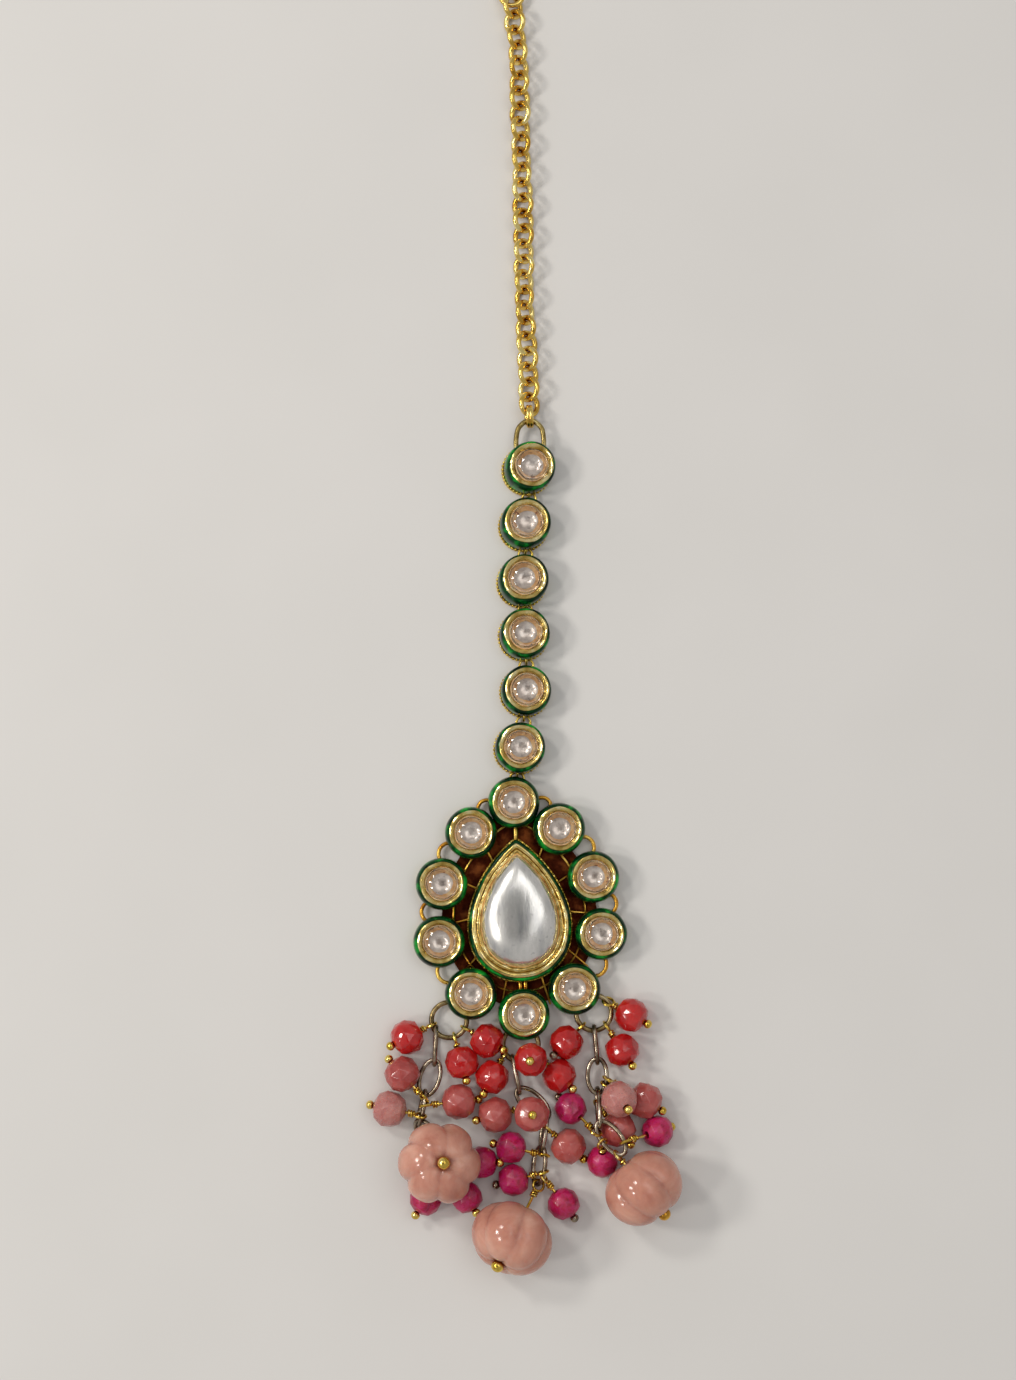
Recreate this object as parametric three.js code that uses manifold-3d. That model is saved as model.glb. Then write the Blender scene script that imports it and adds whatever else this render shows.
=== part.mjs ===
// Forehead jewel on a hair chain, laid out flat: a wire hair hook, a cable chain,
// six round foiled settings in a column, a pendant with a teardrop stone in a ring
// of ten cups, and three tassels of beads on head pins. Millimetres, +Z up.
import * as THREE from 'three';
import { mergeVertices } from 'three/addons/utils/BufferGeometryUtils.js';
import Module from 'manifold-3d';

const wasm = await Module();
wasm.setup();

// Round settings of the column
const cup = { footRadius: 2.7, footHeight: 1.3, flangeRadius: 3.25,
  rimRadius: 2.8, rimHeight: 3.4, seatRadius: 2.2, seatFloor: 2.3, lipHeight: 3.15, sides: 10 };
const roundStone = { radius: 2.0, floor: 2.42, girdle: 3.1, tableRadius: 1.1, table: 3.85, sides: 10 };

// The hooks and loops that join one setting to the next
const joint = { wire: 0.15, reach: 0.33, height: 0.63, loopRadius: 0.87, hookRadius: 0.48,
  hookStretch: 0.35, segments: 6, sides: 4 };

// Centres of the six settings, from the chain down to the pendant
const columnPlaces = [
  { x: 0.62, y: 27.84 },
  { x: -0.02, y: 20.79 },
  { x: -0.31, y: 13.69 },
  { x: -0.15, y: 6.9 },
  { x: 0.0, y: -0.25 },
  { x: -0.75, y: -7.37 },
];

// Bail soldered to the first setting, with the line of its wire from the setting's centre
const bail = { height: 1.5, wire: 0.33, steps: 9, sides: 5 };
const bailLine = [
  { x: -1.97, y: 2.0 },
  { x: -1.97, y: 3.49 },
  { x: -1.63, y: 5.38 },
  { x: -0.25, y: 5.9 },
  { x: 1.13, y: 5.38 },
  { x: 1.47, y: 3.49 },
  { x: 1.47, y: 2.0 },
];

// Cable chain of round links and the double ring that joins it to the bail
const link = { radius: 1.3, wire: 0.27, bite: 0.475, segments: 10, sides: 5, roll: 38 };
const chainRoute = [
  { x: 0.3, y: 35.68, z: 1.5 },
  { x: 0.1, y: 41.5, z: 1.1 },
  { x: -0.3, y: 49.1, z: 1.1 },
  { x: -0.42, y: 57.5, z: 1.1 },
  { x: -0.55, y: 63.2, z: 1.1 },
  { x: -0.75, y: 69.0, z: 1.1 },
  { x: -0.9, y: 74.8, z: 1.1 },
  { x: -1.05, y: 80.0, z: 1.1 },
  { x: -1.75, y: 86.4, z: 1.1 },
];
const doubleRing = { radius: 1.5, hole: 0.97, halfWidth: 0.5, x: 0.3, y: 34.15, z: 1.52, sides: 10 };

// Wire hook at the free end of the chain
const hairHook = { wire: 0.5, eyeRadius: 1.45, eyeWire: 0.34, eyeReach: 1.66, eyeSegments: 10,
  sink: 0.1, shank: 5.4, bend: 2.75, bendSteps: 4, tip: 4.6, steps: 12, sides: 5 };

// Pendant: the teardrop's place and its turn on the surface
const pendant = { x: -1.0, y: -27.38, turn: 2.7 };
const pendantCup = { footRadius: 2.95, flangeRadius: 3.25, flangeHeight: 1.4, rimRadius: 2.8,
  rimHeight: 3.4, lipRadius: 2.1, lipHeight: 3.15, tableRadius: 1.1, table: 3.85, sides: 10 };
const pendantCupPlaces = [
  { across: 0, along: 13.1 },
  { across: 5.5, along: 9.56 },
  { across: 9.45, along: 3.4 },
  { across: 10.1, along: -3.75 },
  { across: 6.44, along: -10.4 },
  { across: 0, along: -13.26 },
  { across: -6.44, along: -10.4 },
  { across: -10.1, along: -3.75 },
  { across: -9.45, along: 3.4 },
  { across: -5.5, along: 9.56 },
];
const teardrop = { halfWidth: 6.4, halfLength: 8.75, middle: -0.35, pinch: 0.65, points: 16,
  searchSteps: 300 };
const teardropWall = [
  { inset: 0.5, z: 0 },
  { inset: 0, z: 1.2 },
  { inset: 0, z: 3.7 },
  { inset: 1.5, z: 3.35 },
  { inset: 1.5, z: 2.5 },
];
const teardropStone = [
  { inset: 1.75, z: 2.62 },
  { inset: 1.75, z: 3.5 },
  { inset: 2.7, z: 4.8 },
  { inset: 4.2, z: 5.4 },
];
const tieBar = { halfWidth: 0.45, low: 0.15, high: 0.95, spokeEvery: 3 };

// Tassels: ring, links and head pins
const tasselRing = { radius: 2.2, wire: 0.32, segments: 10, sides: 5, eyeRoom: 0.64, eyeSides: 4 };
const tasselLink = { halfWidth: 1.2, wire: 0.3, overlap: 0.3, segments: 10, sides: 5 };
const pin = { wire: 0.23, loopRadius: 0.74, loopOffset: 0.21, loopSegments: 6, sides: 4,
  ballGap: 0.55, neck: 0.9 };
const pinBall = { small: 0.55, large: 0.8 };
const hang = { height: 2.2, searchSteps: 120 };

// Bead forms: radius, half length along the pin, and radius of the drilled hole
const beadForms = {
  red: { radius: 1.9, belt: 0.6, half: 1.75, hole: 0.42, ball: 'small' },
  pink: { radius: 2.05, belt: 0.65, half: 1.85, hole: 0.42, ball: 'small' },
  magenta: { radius: 1.8, belt: 0.58, half: 1.65, hole: 0.42, ball: 'small' },
};
const melonForm = { radius: 5.15, belt: 1.3, half: 3.4, crownRadius: 2.6, crown: 4.1,
  hole: 0.45, lobes: 6, groove: 0.12, sides: 12, ball: 'large' };
const beadSides = 10;

// Drops of each tassel: bead form and centre, and the wire that the head pin's loop holds,
// which is the ring (0) or a link (1 is the first), taken nearest to atX and atY
const leftDrops = [
  { name: 'bead_red_1', form: 'red', x: -14.9, y: -43.5, z: 2.0, wire: 0, atX: -11.9, atY: -42.0 },
  { name: 'bead_red_2', form: 'red', x: -8.15, y: -46.6, z: 2.0, wire: 0, atX: -9.0, atY: -43.6 },
  { name: 'bead_red_3', form: 'red', x: -4.95, y: -43.9, z: 2.0, wire: 0, atX: -7.8, atY: -42.4 },
  { name: 'bead_pink_1', form: 'pink', x: -15.5, y: -48.0, z: 2.15, wire: 3, atX: -12.8, atY: -51.2 },
  { name: 'bead_pink_2', form: 'pink', x: -17.05, y: -52.3, z: 2.15, wire: 3, atX: -13.7, atY: -52.8 },
  { name: 'bead_pink_3', form: 'pink', x: -8.5, y: -51.4, z: 2.15, wire: 3, atX: -12.7, atY: -51.9 },
  { name: 'bead_magenta_1', form: 'magenta', x: -5.6, y: -58.9, z: 1.9, wire: 5, atX: -8.9, atY: -58.9 },
  { name: 'bead_magenta_2', form: 'magenta', x: -7.5, y: -63.2, z: 1.9, wire: 5, atX: -9.2, atY: -60.6 },
  { name: 'bead_magenta_3', form: 'magenta', x: -12.6, y: -63.5, z: 1.9, wire: 5, atX: -10.6, atY: -60.6 },
  { name: 'melon_bead_1', form: 'melon', x: -10.8, y: -58.5, z: 6.8, wire: 5, atX: -11.6, atY: -59.1 },
];
const middleDrops = [
  { name: 'bead_red_4', form: 'red', x: -4.35, y: -48.4, z: 2.0, wire: 0, atX: -2.8, atY: -45.4 },
  { name: 'bead_red_5', form: 'red', x: 0.4, y: -46.1, z: 4.3, wire: 0, atX: 0.6, atY: -46.1 },
  { name: 'bead_red_6', form: 'red', x: 4.0, y: -48.2, z: 2.0, wire: 0, atX: 1.2, atY: -45.4 },
  { name: 'bead_pink_4', form: 'pink', x: -3.95, y: -53.05, z: 2.15, wire: 2, atX: -0.5, atY: -52.2 },
  { name: 'bead_pink_5', form: 'pink', x: 0.5, y: -52.75, z: 4.8, wire: 2, atX: 0.6, atY: -52.7 },
  { name: 'bead_pink_6', form: 'pink', x: 5.1, y: -56.95, z: 2.15, wire: 3, atX: 2.6, atY: -54.8 },
  { name: 'bead_magenta_4', form: 'magenta', x: -2.0, y: -57.1, z: 1.9, wire: 4, atX: 1.0, atY: -58.2 },
  { name: 'bead_magenta_5', form: 'magenta', x: -1.7, y: -61.1, z: 1.9, wire: 4, atX: 0.9, atY: -59.8 },
  { name: 'bead_magenta_6', form: 'magenta', x: 4.5, y: -64.0, z: 1.9, wire: 4, atX: 2.1, atY: -60.6 },
  { name: 'melon_bead_2', form: 'melon', x: -1.95, y: -67.8, z: 5.3, wire: 4, atX: 1.2, atY: -61.8 },
];
const rightDrops = [
  { name: 'bead_red_7', form: 'red', x: 4.85, y: -44.1, z: 2.0, wire: 0, atX: 6.8, atY: -42.1 },
  { name: 'bead_red_8', form: 'red', x: 12.95, y: -40.7, z: 2.0, wire: 0, atX: 10.0, atY: -39.0 },
  { name: 'bead_red_9', form: 'red', x: 11.8, y: -45.05, z: 2.0, wire: 0, atX: 9.9, atY: -42.1 },
  { name: 'bead_pink_7', form: 'pink', x: 11.3, y: -50.9, z: 4.7, wire: 2, atX: 9.6, atY: -49.2 },
  { name: 'bead_pink_8', form: 'pink', x: 14.6, y: -51.3, z: 2.15, wire: 2, atX: 10.2, atY: -48.6 },
  { name: 'bead_pink_9', form: 'pink', x: 11.25, y: -54.8, z: 2.15, wire: 3, atX: 8.7, atY: -51.5 },
  { name: 'bead_magenta_7', form: 'magenta', x: 5.4, y: -52.25, z: 1.9, wire: 4, atX: 9.0, atY: -55.2 },
  { name: 'bead_magenta_8', form: 'magenta', x: 16.15, y: -55.1, z: 1.9, wire: 4, atX: 12.0, atY: -56.5 },
  { name: 'bead_magenta_9', form: 'magenta', x: 9.35, y: -58.8, z: 2.05, wire: 4, atX: 9.4, atY: -56.6 },
  { name: 'melon_bead_3', form: 'melon', x: 14.3, y: -61.75, z: 5.3, wire: 4, atX: 11.6, atY: -57.6 },
];

// Each tassel: its ring, the joints between its links, and how far each link rolls
// about its length (0 lies flat, 90 stands on edge)
const tassels = [
  {
    name: 'left',
    drops: leftDrops,
    ring: { x: -9.7, y: -41.4, z: 0.95 },
    joints: [
      { x: -11.3, y: -42.5, z: 1.3 },
      { x: -11.5, y: -46.6, z: 1.8 },
      { x: -12.7, y: -50.4, z: 1.6 },
      { x: -13.4, y: -54.0, z: 1.5 },
      { x: -11.5, y: -57.0, z: 1.25 },
      { x: -9.6, y: -60.2, z: 1.15 },
    ],
    rolls: [90, 5, 80, 35, 0],
  },
  {
    name: 'middle',
    drops: middleDrops,
    ring: { x: -0.8, y: -44.4, z: 0.95 },
    joints: [
      { x: -1.78, y: -46.1, z: 1.3 },
      { x: -0.95, y: -50.1, z: 1.8 },
      { x: 2.35, y: -53.2, z: 1.6 },
      { x: 1.75, y: -57.25, z: 1.6 },
      { x: 1.25, y: -61.4, z: 1.5 },
    ],
    rolls: [90, 5, 80, 55],
  },
  {
    name: 'right',
    drops: rightDrops,
    ring: { x: 8.3, y: -40.5, z: 0.95 },
    joints: [
      { x: 8.36, y: -42.45, z: 1.3 },
      { x: 8.7, y: -46.4, z: 1.8 },
      { x: 8.7, y: -50.1, z: 1.7 },
      { x: 8.9, y: -54.0, z: 4.2 },
      { x: 11.65, y: -57.3, z: 5.0 },
    ],
    rolls: [90, 5, 85, 5],
  },
];

// Metals, enamel, glass and bead colours
const looks = {
  gold: { color: 0xd9a93c, roughness: 0.28, metalness: 1.0 },
  antique: { color: 0x9c8a5c, roughness: 0.4, metalness: 1.0 },
  glass: { color: 0xe9dccb, roughness: 0.08, metalness: 0.3 },
  red: { color: 0xd5363c, roughness: 0.25, metalness: 0.0 },
  pink: { color: 0xd96f78, roughness: 0.35, metalness: 0.0 },
  magenta: { color: 0xb81e6a, roughness: 0.4, metalness: 0.0 },
  melon: { color: 0xe3a595, roughness: 0.2, metalness: 0.0 },
};

const upward = new THREE.Vector3(0, 0, 1);

// Corners nearer than this are one corner
const sameSpot = 1e-5;

// A closed three.js shape as a solid that can be joined and cut
function asSolid(geometry) {
  const bare = geometry.clone();
  bare.deleteAttribute('normal');
  bare.deleteAttribute('uv');
  const closed = mergeVertices(bare, sameSpot);
  return new wasm.Manifold(new wasm.Mesh({
    numProp: 3,
    vertProperties: new Float32Array(closed.attributes.position.array),
    triVerts: new Uint32Array(closed.index.array),
  }));
}

function asGeometry(solid) {
  const mesh = solid.getMesh();
  const geometry = new THREE.BufferGeometry();
  geometry.setAttribute('position', new THREE.BufferAttribute(mesh.vertProperties, 3));
  geometry.setIndex(new THREE.BufferAttribute(mesh.triVerts, 1));
  geometry.computeVertexNormals();
  return geometry;
}

function joined(solids) {
  return solids.reduce((whole, piece) => whole.add(piece));
}

// A profile of [radius, height] corners turned about the Z axis
function turned(profile, sides) {
  const points = profile.map(([radius, height]) => new THREE.Vector2(radius, height));
  const geometry = new THREE.LatheGeometry(points, sides);
  geometry.rotateX(Math.PI / 2);
  return geometry;
}

// A wire ring drawn out along X to the given half length, with the middle of a side at
// each end. Its wire has an edge on the inside, where the next link or loop lies.
function wireRing(halfLength, halfWidth, wire, segments, sides) {
  const section = [];
  for (let side = 0; side <= sides; side += 1) {
    const angle = Math.PI + (2 * Math.PI * (side % sides)) / sides;
    section.push([halfWidth + wire * Math.cos(angle), wire * Math.sin(angle)]);
  }
  const geometry = turned(section, segments).rotateZ(Math.PI / 2 + Math.PI / segments);
  const places = geometry.attributes.position;
  for (let index = 0; index < places.count; index += 1) {
    const x = places.getX(index);
    const angle = Math.atan2(places.getY(index), x);
    places.setX(index, x + (halfLength - halfWidth) * Math.cos(angle));
  }
  return geometry;
}

// A round wire along a smooth curve through the points
function bentWire(points, wire, steps, sides) {
  const section = new THREE.Shape();
  for (let side = 0; side < sides; side += 1) {
    const angle = (2 * Math.PI * side) / sides;
    const corner = [wire * Math.cos(angle), wire * Math.sin(angle)];
    if (side === 0) section.moveTo(...corner);
    else section.lineTo(...corner);
  }
  const curve = new THREE.CatmullRomCurve3(points, false, 'centripetal');
  return new THREE.ExtrudeGeometry(section, { steps, bevelEnabled: false, extrudePath: curve });
}

// Moves a shape made along X, Y and Z onto the given axes and place
function placed(geometry, along, side, place) {
  const normal = new THREE.Vector3().crossVectors(along, side).normalize();
  const matrix = new THREE.Matrix4().makeBasis(along, side, normal).setPosition(place);
  return geometry.applyMatrix4(matrix);
}

function vectorOf(row, z = row.z) {
  return new THREE.Vector3(row.x, row.y, z);
}

function directionTo(from, to) {
  return new THREE.Vector3(to.x - from.x, to.y - from.y, 0).normalize();
}

function distanceTo(from, to) {
  return Math.hypot(to.x - from.x, to.y - from.y);
}

// Side direction of a link that runs along a line, rolled about it from lying flat
function rolledSide(along, degrees) {
  const roll = THREE.MathUtils.degToRad(degrees);
  const across = new THREE.Vector3().crossVectors(upward, along).normalize();
  const lift = new THREE.Vector3().crossVectors(along, across);
  return across.multiplyScalar(Math.cos(roll)).addScaledVector(lift, Math.sin(roll));
}

function part(name, geometry, look) {
  const mesh = new THREE.Mesh(geometry, new THREE.MeshStandardMaterial(look));
  mesh.name = name;
  return mesh;
}

// Flat loop that stands out of a setting's foot toward its upper neighbour
function flatLoop(centre, above) {
  const toward = directionTo(centre, above);
  const across = new THREE.Vector3().crossVectors(upward, toward);
  const reach = distanceTo(centre, above) / 2 + joint.reach - joint.loopRadius;
  const place = vectorOf(centre, joint.height).addScaledVector(toward, reach);
  const ring = wireRing(joint.loopRadius, joint.loopRadius, joint.wire, joint.segments, joint.sides);
  return asSolid(placed(ring, toward, across, place));
}

// Upright hook ring on a setting's foot that holds the loop of its lower neighbour
function uprightHook(centre, below) {
  const toward = directionTo(centre, below);
  const halfLength = joint.hookRadius + joint.hookStretch;
  const reach = distanceTo(centre, below) / 2 + joint.reach - halfLength;
  const place = vectorOf(centre, joint.height).addScaledVector(toward, reach);
  const ring = wireRing(halfLength, joint.hookRadius, joint.wire, joint.segments, joint.sides);
  return asSolid(placed(ring, toward, upward, place));
}

// Cup of a round setting with an open seat for its stone
function openCup(centre) {
  const profile = [
    [0, 0],
    [cup.footRadius, 0],
    [cup.footRadius, cup.footHeight],
    [cup.flangeRadius, cup.footHeight],
    [cup.rimRadius, cup.rimHeight],
    [cup.seatRadius, cup.lipHeight],
    [cup.seatRadius, cup.seatFloor],
    [0, cup.seatFloor],
  ];
  const shape = turned(profile, cup.sides).rotateZ(Math.PI / cup.sides);
  return asSolid(shape.translate(centre.x, centre.y, 0));
}

// Stone of a round setting: flat base, girdle, cut shoulder and table
function roundStoneGeometry(centre) {
  const profile = [
    [0, roundStone.floor],
    [roundStone.radius, roundStone.floor],
    [roundStone.radius, roundStone.girdle],
    [roundStone.tableRadius, roundStone.table],
    [0, roundStone.table],
  ];
  const shape = turned(profile, roundStone.sides).rotateZ(Math.PI / roundStone.sides);
  return shape.translate(centre.x, centre.y, 0);
}

// Wire bail in front of the first setting
function bailSolid(centre) {
  const points = bailLine.map(({ x, y }) => new THREE.Vector3(centre.x + x, centre.y + y, bail.height));
  return asSolid(bentWire(points, bail.wire, bail.steps, bail.sides));
}

// Centre of a pendant cup on the surface
function pendantPlace({ across, along }) {
  const turn = THREE.MathUtils.degToRad(pendant.turn);
  return {
    x: pendant.x + across * Math.cos(turn) - along * Math.sin(turn),
    y: pendant.y + across * Math.sin(turn) + along * Math.cos(turn),
  };
}

// The six settings with their stones, joined by loops and hooks
function column() {
  const chain = [...columnPlaces, pendantPlace(pendantCupPlaces[0])];
  const pieces = [];
  columnPlaces.forEach((centre, index) => {
    const solids = [openCup(centre)];
    if (index === 0) {
      solids.push(bailSolid(centre));
    } else {
      solids.push(flatLoop(centre, chain[index - 1]));
    }
    solids.push(uprightHook(centre, chain[index + 1]));
    pieces.push(part(`setting_${index + 1}`, asGeometry(joined(solids)), looks.gold));
    pieces.push(part(`setting_stone_${index + 1}`, roundStoneGeometry(centre), looks.glass));
  });
  return pieces;
}

// Closed stack of teardrop outlines, one for each row of inset and height
function teardropStack(rows) {
  const { searchSteps } = teardrop;
  const angles = Array.from({ length: searchSteps }, (_, step) => (Math.PI * step) / searchSteps);
  const widestBulge = Math.max(...angles.map(bulgeAt));
  const corners = [];
  rows.forEach(({ inset, z }) => {
    const halfWidth = teardrop.halfWidth - inset;
    const halfLength = teardrop.halfLength - inset;
    for (let step = 0; step < teardrop.points; step += 1) {
      const angle = (2 * Math.PI * step) / teardrop.points;
      const x = (halfWidth * bulgeAt(angle)) / widestBulge;
      corners.push([x, halfLength * Math.cos(angle) + teardrop.middle, z]);
    }
  });
  const count = teardrop.points;
  const faces = [];
  for (let row = 0; row + 1 < rows.length; row += 1) {
    for (let step = 0; step < count; step += 1) {
      const next = (step + 1) % count;
      const [a, b] = [row * count + step, row * count + next];
      faces.push(a, a + count, b, b, a + count, b + count);
    }
  }
  const top = (rows.length - 1) * count;
  for (let step = 1; step + 1 < count; step += 1) {
    faces.push(0, step, step + 1);
    faces.push(top, top + step + 1, top + step);
  }
  const geometry = new THREE.BufferGeometry();
  geometry.setAttribute('position', new THREE.Float32BufferAttribute(corners.flat(), 3));
  geometry.setIndex(faces);
  return geometry;
}

// Teardrop formula: full at the lower end and drawn to a point at the upper end
function bulgeAt(angle) {
  return Math.sin(angle) * Math.sin(angle / 2) ** teardrop.pinch;
}

function onPendant(geometry) {
  geometry.rotateZ(THREE.MathUtils.degToRad(pendant.turn));
  return geometry.translate(pendant.x, pendant.y, 0);
}

// Cup of the pendant's ring with its stone fused in
function closedCup({ across, along }) {
  const profile = [
    [0, 0],
    [pendantCup.footRadius, 0],
    [pendantCup.flangeRadius, pendantCup.flangeHeight],
    [pendantCup.rimRadius, pendantCup.rimHeight],
    [pendantCup.lipRadius, pendantCup.lipHeight],
    [pendantCup.tableRadius, pendantCup.table],
    [0, pendantCup.table],
  ];
  const shape = turned(profile, pendantCup.sides).rotateZ(Math.PI / pendantCup.sides);
  return asSolid(onPendant(shape.translate(across, along, 0)));
}

// Flat bar between two places on the pendant
function tie(from, to) {
  const { halfWidth, low, high } = tieBar;
  const span = new THREE.Vector2(to.across - from.across, to.along - from.along);
  const geometry = new THREE.BoxGeometry(span.length(), 2 * halfWidth, high - low);
  geometry.rotateZ(span.angle());
  geometry.translate((from.across + to.across) / 2, (from.along + to.along) / 2, (low + high) / 2);
  return asSolid(onPendant(geometry));
}

// Room for a tassel ring to pass through the foot of its cup
function ringEye(ring) {
  const { radius, segments, eyeRoom, eyeSides } = tasselRing;
  const room = wireRing(radius, radius, eyeRoom, segments, eyeSides);
  return asSolid(room.translate(ring.x, ring.y, ring.z));
}

function pendantFrame() {
  const hub = { across: 0, along: 0 };
  const solids = [asSolid(onPendant(teardropStack(teardropWall)))];
  pendantCupPlaces.forEach((place, index) => {
    const next = pendantCupPlaces[(index + 1) % pendantCupPlaces.length];
    solids.push(closedCup(place), tie(place, next));
    if (index % tieBar.spokeEvery === 0) solids.push(tie(place, hub));
  });
  solids.push(flatLoop(pendantPlace(pendantCupPlaces[0]), columnPlaces[columnPlaces.length - 1]));
  const eyes = tassels.map(({ ring }) => ringEye(ring));
  return eyes.reduce((frame, eye) => frame.subtract(eye), joined(solids));
}

// Links of the hair chain, every second one rolled the other way
function hairChain() {
  const route = new THREE.CatmullRomCurve3(chainRoute.map((row) => vectorOf(row)));
  const pitch = 2 * link.radius * Math.cos(Math.PI / link.segments) - link.bite;
  const count = Math.round(route.getLength() / pitch) + 1;
  const solids = [];
  for (let index = 0; index < count; index += 1) {
    const place = route.getPointAt(index / (count - 1));
    const along = route.getTangentAt(index / (count - 1));
    const side = rolledSide(along, index % 2 === 0 ? link.roll : -link.roll);
    const ring = wireRing(link.radius, link.radius, link.wire, link.segments, link.sides);
    solids.push(asSolid(placed(ring, along, side, place)));
  }
  return joined(solids);
}

// Double ring on edge between the chain's first link and the bail
function doubleRingGeometry() {
  const { radius, hole, halfWidth } = doubleRing;
  const ridge = (radius + hole) / 2;
  const profile = [
    [hole, -halfWidth / 2],
    [ridge, -halfWidth],
    [radius, -halfWidth / 2],
    [radius, halfWidth / 2],
    [ridge, halfWidth],
    [hole, halfWidth / 2],
    [hole, -halfWidth / 2],
  ];
  const geometry = turned(profile, doubleRing.sides).rotateY(Math.PI / 2);
  return geometry.translate(doubleRing.x, doubleRing.y, doubleRing.z);
}

// Plain wire hook that lies past the last link and would hold on to the hair
function hookSolid() {
  const { wire, eyeRadius, bend, bendSteps } = hairHook;
  const route = chainRoute.map((row) => vectorOf(row));
  const end = route[route.length - 1];
  const along = directionTo(route[route.length - 2], end);
  const eye = end.clone().addScaledVector(along, hairHook.eyeReach);
  const ring = wireRing(eyeRadius, eyeRadius, hairHook.eyeWire, hairHook.eyeSegments, hairHook.sides);
  const start = eye.y + eyeRadius;
  const bendY = start + hairHook.shank;
  const points = [
    new THREE.Vector3(eye.x, start - hairHook.sink, eye.z),
    new THREE.Vector3(eye.x, (start + bendY) / 2, (eye.z + wire) / 2),
    new THREE.Vector3(eye.x, bendY, wire),
  ];
  for (let step = 1; step <= bendSteps; step += 1) {
    const angle = Math.PI * (1 - step / bendSteps);
    const x = eye.x + bend * (1 + Math.cos(angle));
    points.push(new THREE.Vector3(x, bendY + bend * Math.sin(angle), wire));
  }
  points.push(new THREE.Vector3(eye.x + 2 * bend, bendY - hairHook.tip, wire));
  const bent = asSolid(bentWire(points, wire, hairHook.steps, hairHook.sides));
  return bent.add(asSolid(ring.translate(eye.x, eye.y, eye.z)));
}

// A closed wire, its centre line and its solid: a tassel's ring or one of its links
function closedWire(centre, along, side, halfLength, halfWidth, wire, segments, sides) {
  const pointAt = (angle) => centre.clone()
    .addScaledVector(along, halfLength * Math.cos(angle))
    .addScaledVector(side, halfWidth * Math.sin(angle));
  const ring = wireRing(halfLength, halfWidth, wire, segments, sides);
  return { pointAt, solid: asSolid(placed(ring, along, side, centre)) };
}

function tasselWires({ ring, joints, rolls }) {
  const { radius, wire, segments, sides } = tasselRing;
  const wires = [closedWire(vectorOf(ring), new THREE.Vector3(1, 0, 0), new THREE.Vector3(0, 1, 0),
    radius, radius, wire, segments, sides)];
  rolls.forEach((roll, index) => {
    const from = vectorOf(joints[index]);
    const to = vectorOf(joints[index + 1]);
    const along = to.clone().sub(from);
    const halfLength = along.length() / 2 + tasselLink.overlap;
    along.normalize();
    const side = rolledSide(along, roll);
    const { halfWidth, wire: linkWire, segments: linkSegments, sides: linkSides } = tasselLink;
    const middle = from.add(to).multiplyScalar(0.5);
    wires.push(closedWire(middle, along, side, halfLength, halfWidth, linkWire, linkSegments, linkSides));
  });
  return wires;
}

// Where a drop's loop goes round its wire, with the way from there to its bead
function hangingPoint(drop, wire) {
  const wanted = new THREE.Vector3(drop.atX, drop.atY, hang.height);
  const turn = (2 * Math.PI) / hang.searchSteps;
  let best = { gap: Infinity };
  for (let step = 0; step < hang.searchSteps; step += 1) {
    const point = wire.pointAt(step * turn);
    const gap = point.distanceTo(wanted);
    if (gap < best.gap) best = { gap, point, next: wire.pointAt((step + 1) * turn) };
  }
  const tangent = best.next.sub(best.point).normalize();
  const toBead = vectorOf(drop).sub(best.point).normalize();
  return { point: best.point, tangent, toBead };
}

// Head pin of one drop: a loop round the wire, a shank through the bead and a ball
function headPin(drop, wire) {
  const { point, tangent, toBead } = hangingPoint(drop, wire);
  const form = formOf(drop);
  const loopCentre = point.addScaledVector(toBead, pin.loopOffset);
  const side = new THREE.Vector3().crossVectors(tangent, toBead).normalize();
  const loop = wireRing(pin.loopRadius, pin.loopRadius, pin.wire, pin.loopSegments, pin.sides);
  const ball = pinBall[form.ball];
  const shankStart = pin.loopRadius * Math.cos(Math.PI / pin.loopSegments);
  const ballAt = vectorOf(drop).distanceTo(loopCentre) + form.half + pin.ballGap + ball - pinBall.small;
  const profile = [
    [0, shankStart],
    [pin.wire, shankStart],
    [pin.wire, ballAt - pin.neck * ball],
    [ball, ballAt],
    [0, ballAt + ball],
  ];
  const shank = turned(profile, pin.sides);
  const across = new THREE.Vector3().crossVectors(toBead, side);
  const turnedShank = placed(shank, across, side.clone().negate(), loopCentre);
  return asSolid(placed(loop, toBead, side, loopCentre)).add(asSolid(turnedShank));
}

function formOf(drop) {
  return drop.form === 'melon' ? melonForm : beadForms[drop.form];
}

// Faceted bead with a hole along its length
function beadGeometry({ radius, belt, half, hole }) {
  const profile = [
    [hole, -half],
    [radius, -belt],
    [radius, belt],
    [hole, half],
    [hole, -half],
  ];
  return turned(profile, beadSides);
}

// Fluted melon bead: a turned form with its grooves pressed in
function melonGeometry() {
  const { radius, belt, half, crownRadius, crown, hole, lobes, groove } = melonForm;
  const profile = [
    [hole, -half],
    [crownRadius, -crown],
    [radius, -belt],
    [radius, belt],
    [crownRadius, crown],
    [hole, half],
    [hole, -half],
  ];
  const geometry = turned(profile, melonForm.sides);
  const places = geometry.attributes.position;
  for (let index = 0; index < places.count; index += 1) {
    const [x, y] = [places.getX(index), places.getY(index)];
    const pressed = Math.hypot(x, y) > crownRadius / 2;
    const depth = (groove * (1 - Math.cos(lobes * Math.atan2(y, x)))) / 2;
    if (pressed) places.setXY(index, x * (1 - depth), y * (1 - depth));
  }
  return geometry;
}

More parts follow.
